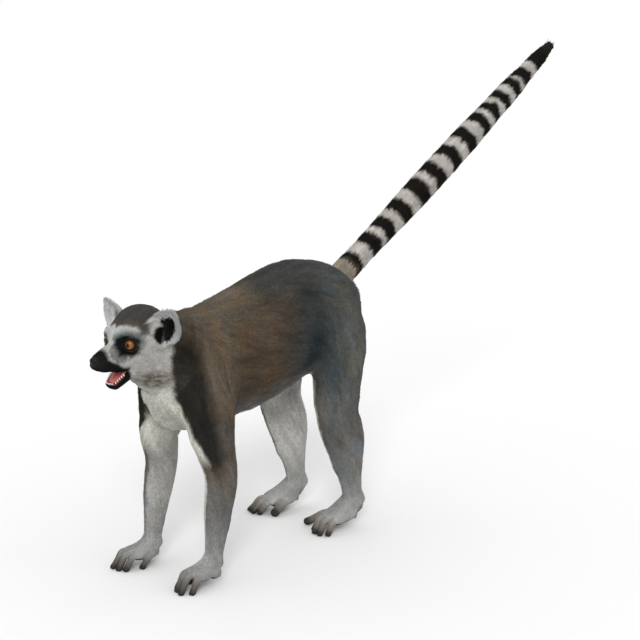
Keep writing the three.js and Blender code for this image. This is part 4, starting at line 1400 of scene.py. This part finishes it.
def build_nails():
    """A flat dark nail on each finger and toe, and the grooming claw of the second toe."""
    made = []
    for name, part in digits.items():
        end, along = part.centre[-1], part.along[-1]
        up = unit(np.array([0, 0, 1.0]) - along * along[2])
        side = np.cross(along, up)
        r = part.half[-1].mean()
        claw = name.startswith("toe_second")
        long, wide, rise = (6.5, 0.55, 1.2) if claw else (5.2, 0.86, 0.30)
        rings = []
        for t in np.linspace(0, 1, 9):
            narrow = np.sqrt(max(1 - ((t - 0.42) / 0.60) ** 4, 0.03)) * (1 - (0.75 * t if claw else 0.1 * t))
            lift = r * 0.62 - 0.9 * t * t * r * 0.5 + rise * math.sin(math.pi * t * 0.8)
            base = end + along * (-3.6 + long * t) + up * lift
            ring = []
            for a in circle(16):
                x = r * wide * narrow * math.cos(a)
                crown = -0.30 * x * x / r
                ring.append(base + side * x + up * (crown + 0.42 * math.sin(a) * narrow))
            rings.append(np.array(ring))
        made.append(shell_of("nail", rings))
    return join("nails", made)


EYE_LOOK = eye_look()
RIM_LOOK = skin_like("lid", (0.004, 0.0035, 0.0035), 0.4, 1600, 0.25, 0.0002, shine=0.2)
NOSE_LOOK = skin_like("nose", (0.004, 0.004, 0.004), 0.5, 1900, 0.5, 0.00025, shine=0.18)
TONGUE_LOOK = skin_like("tongue", (0.46, 0.115, 0.115), 0.30, 1400, 0.5, 0.0003, 0.12, 0.3)
TOOTH_LOOK = skin_like("tooth", (0.62, 0.55, 0.44), 0.25, 900, 0.1, 0.0001, 0.08, 0.3)
NAIL_LOOK = skin_like("nail", (0.030, 0.024, 0.021), 0.38, 1200, 0.25, 0.0001, 0.3)
eyes = [dress(build_eye(name, side), EYE_LOOK) for name, side in SIDES]
lids = [dress(build_lids(name, side), RIM_LOOK) for name, side in SIDES]
nose = dress(field_mesh("nose_skin", NOSE_AT - 9, NOSE_AT + 9, 0.3, nose_field), NOSE_LOOK)
tongue = dress(build_tongue(), TONGUE_LOOK)
teeth = dress(build_teeth(), TOOTH_LOOK)
nails = dress(build_nails(), NAIL_LOOK)


# ---- Stage ----
def build_stage():
    scene = bpy.context.scene
    scene.view_settings.view_transform = "Standard"
    me = bpy.data.meshes.new("floor")
    ring = [(20 * math.cos(a), 20 * math.sin(a), 0) for a in circle(64)]
    me.from_pydata(ring, [], [list(range(64))])
    floor = bpy.data.objects.new("floor", me)
    scene.collection.objects.link(floor)
    look, tree, shader = shader_of("floor")
    feed(tree, shader, {"Base Color": (0.80, 0.80, 0.80, 1), "Roughness": 1, "Specular IOR Level": 0})
    me.materials.append(look)
    world = bpy.data.worlds.new("studio")
    world.use_nodes = True
    feed(world.node_tree, world.node_tree.nodes["Background"], {"Color": (1, 1, 1, 1), "Strength": 1.0})
    scene.world = world
    key = bpy.data.objects.new("key", bpy.data.lights.new("key", "SUN"))
    key.data.energy, key.data.angle = 1.6, math.radians(20)
    key.rotation_euler = Vector((0.62, -0.75, 0.6)).to_track_quat("Z", "Y").to_euler()
    scene.collection.objects.link(key)


build_stage()
FLESH = [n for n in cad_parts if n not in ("eye_left", "eye_right", "tongue", "nose")]
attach(skin, "root")
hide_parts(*FLESH)
for piece in coat:
    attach(piece, "root")
for piece, (name, side) in zip(eyes, SIDES):
    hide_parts(f"eye_{name}")
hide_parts("tongue")
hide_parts("nose")
FINISHES = {"eye": eyes, "nose": [nose, *lids], "tongue": [tongue], "tooth": [teeth], "claw": [nails]}
for slot, pieces in FINISHES.items():
    for piece in pieces:
        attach(piece, "root")
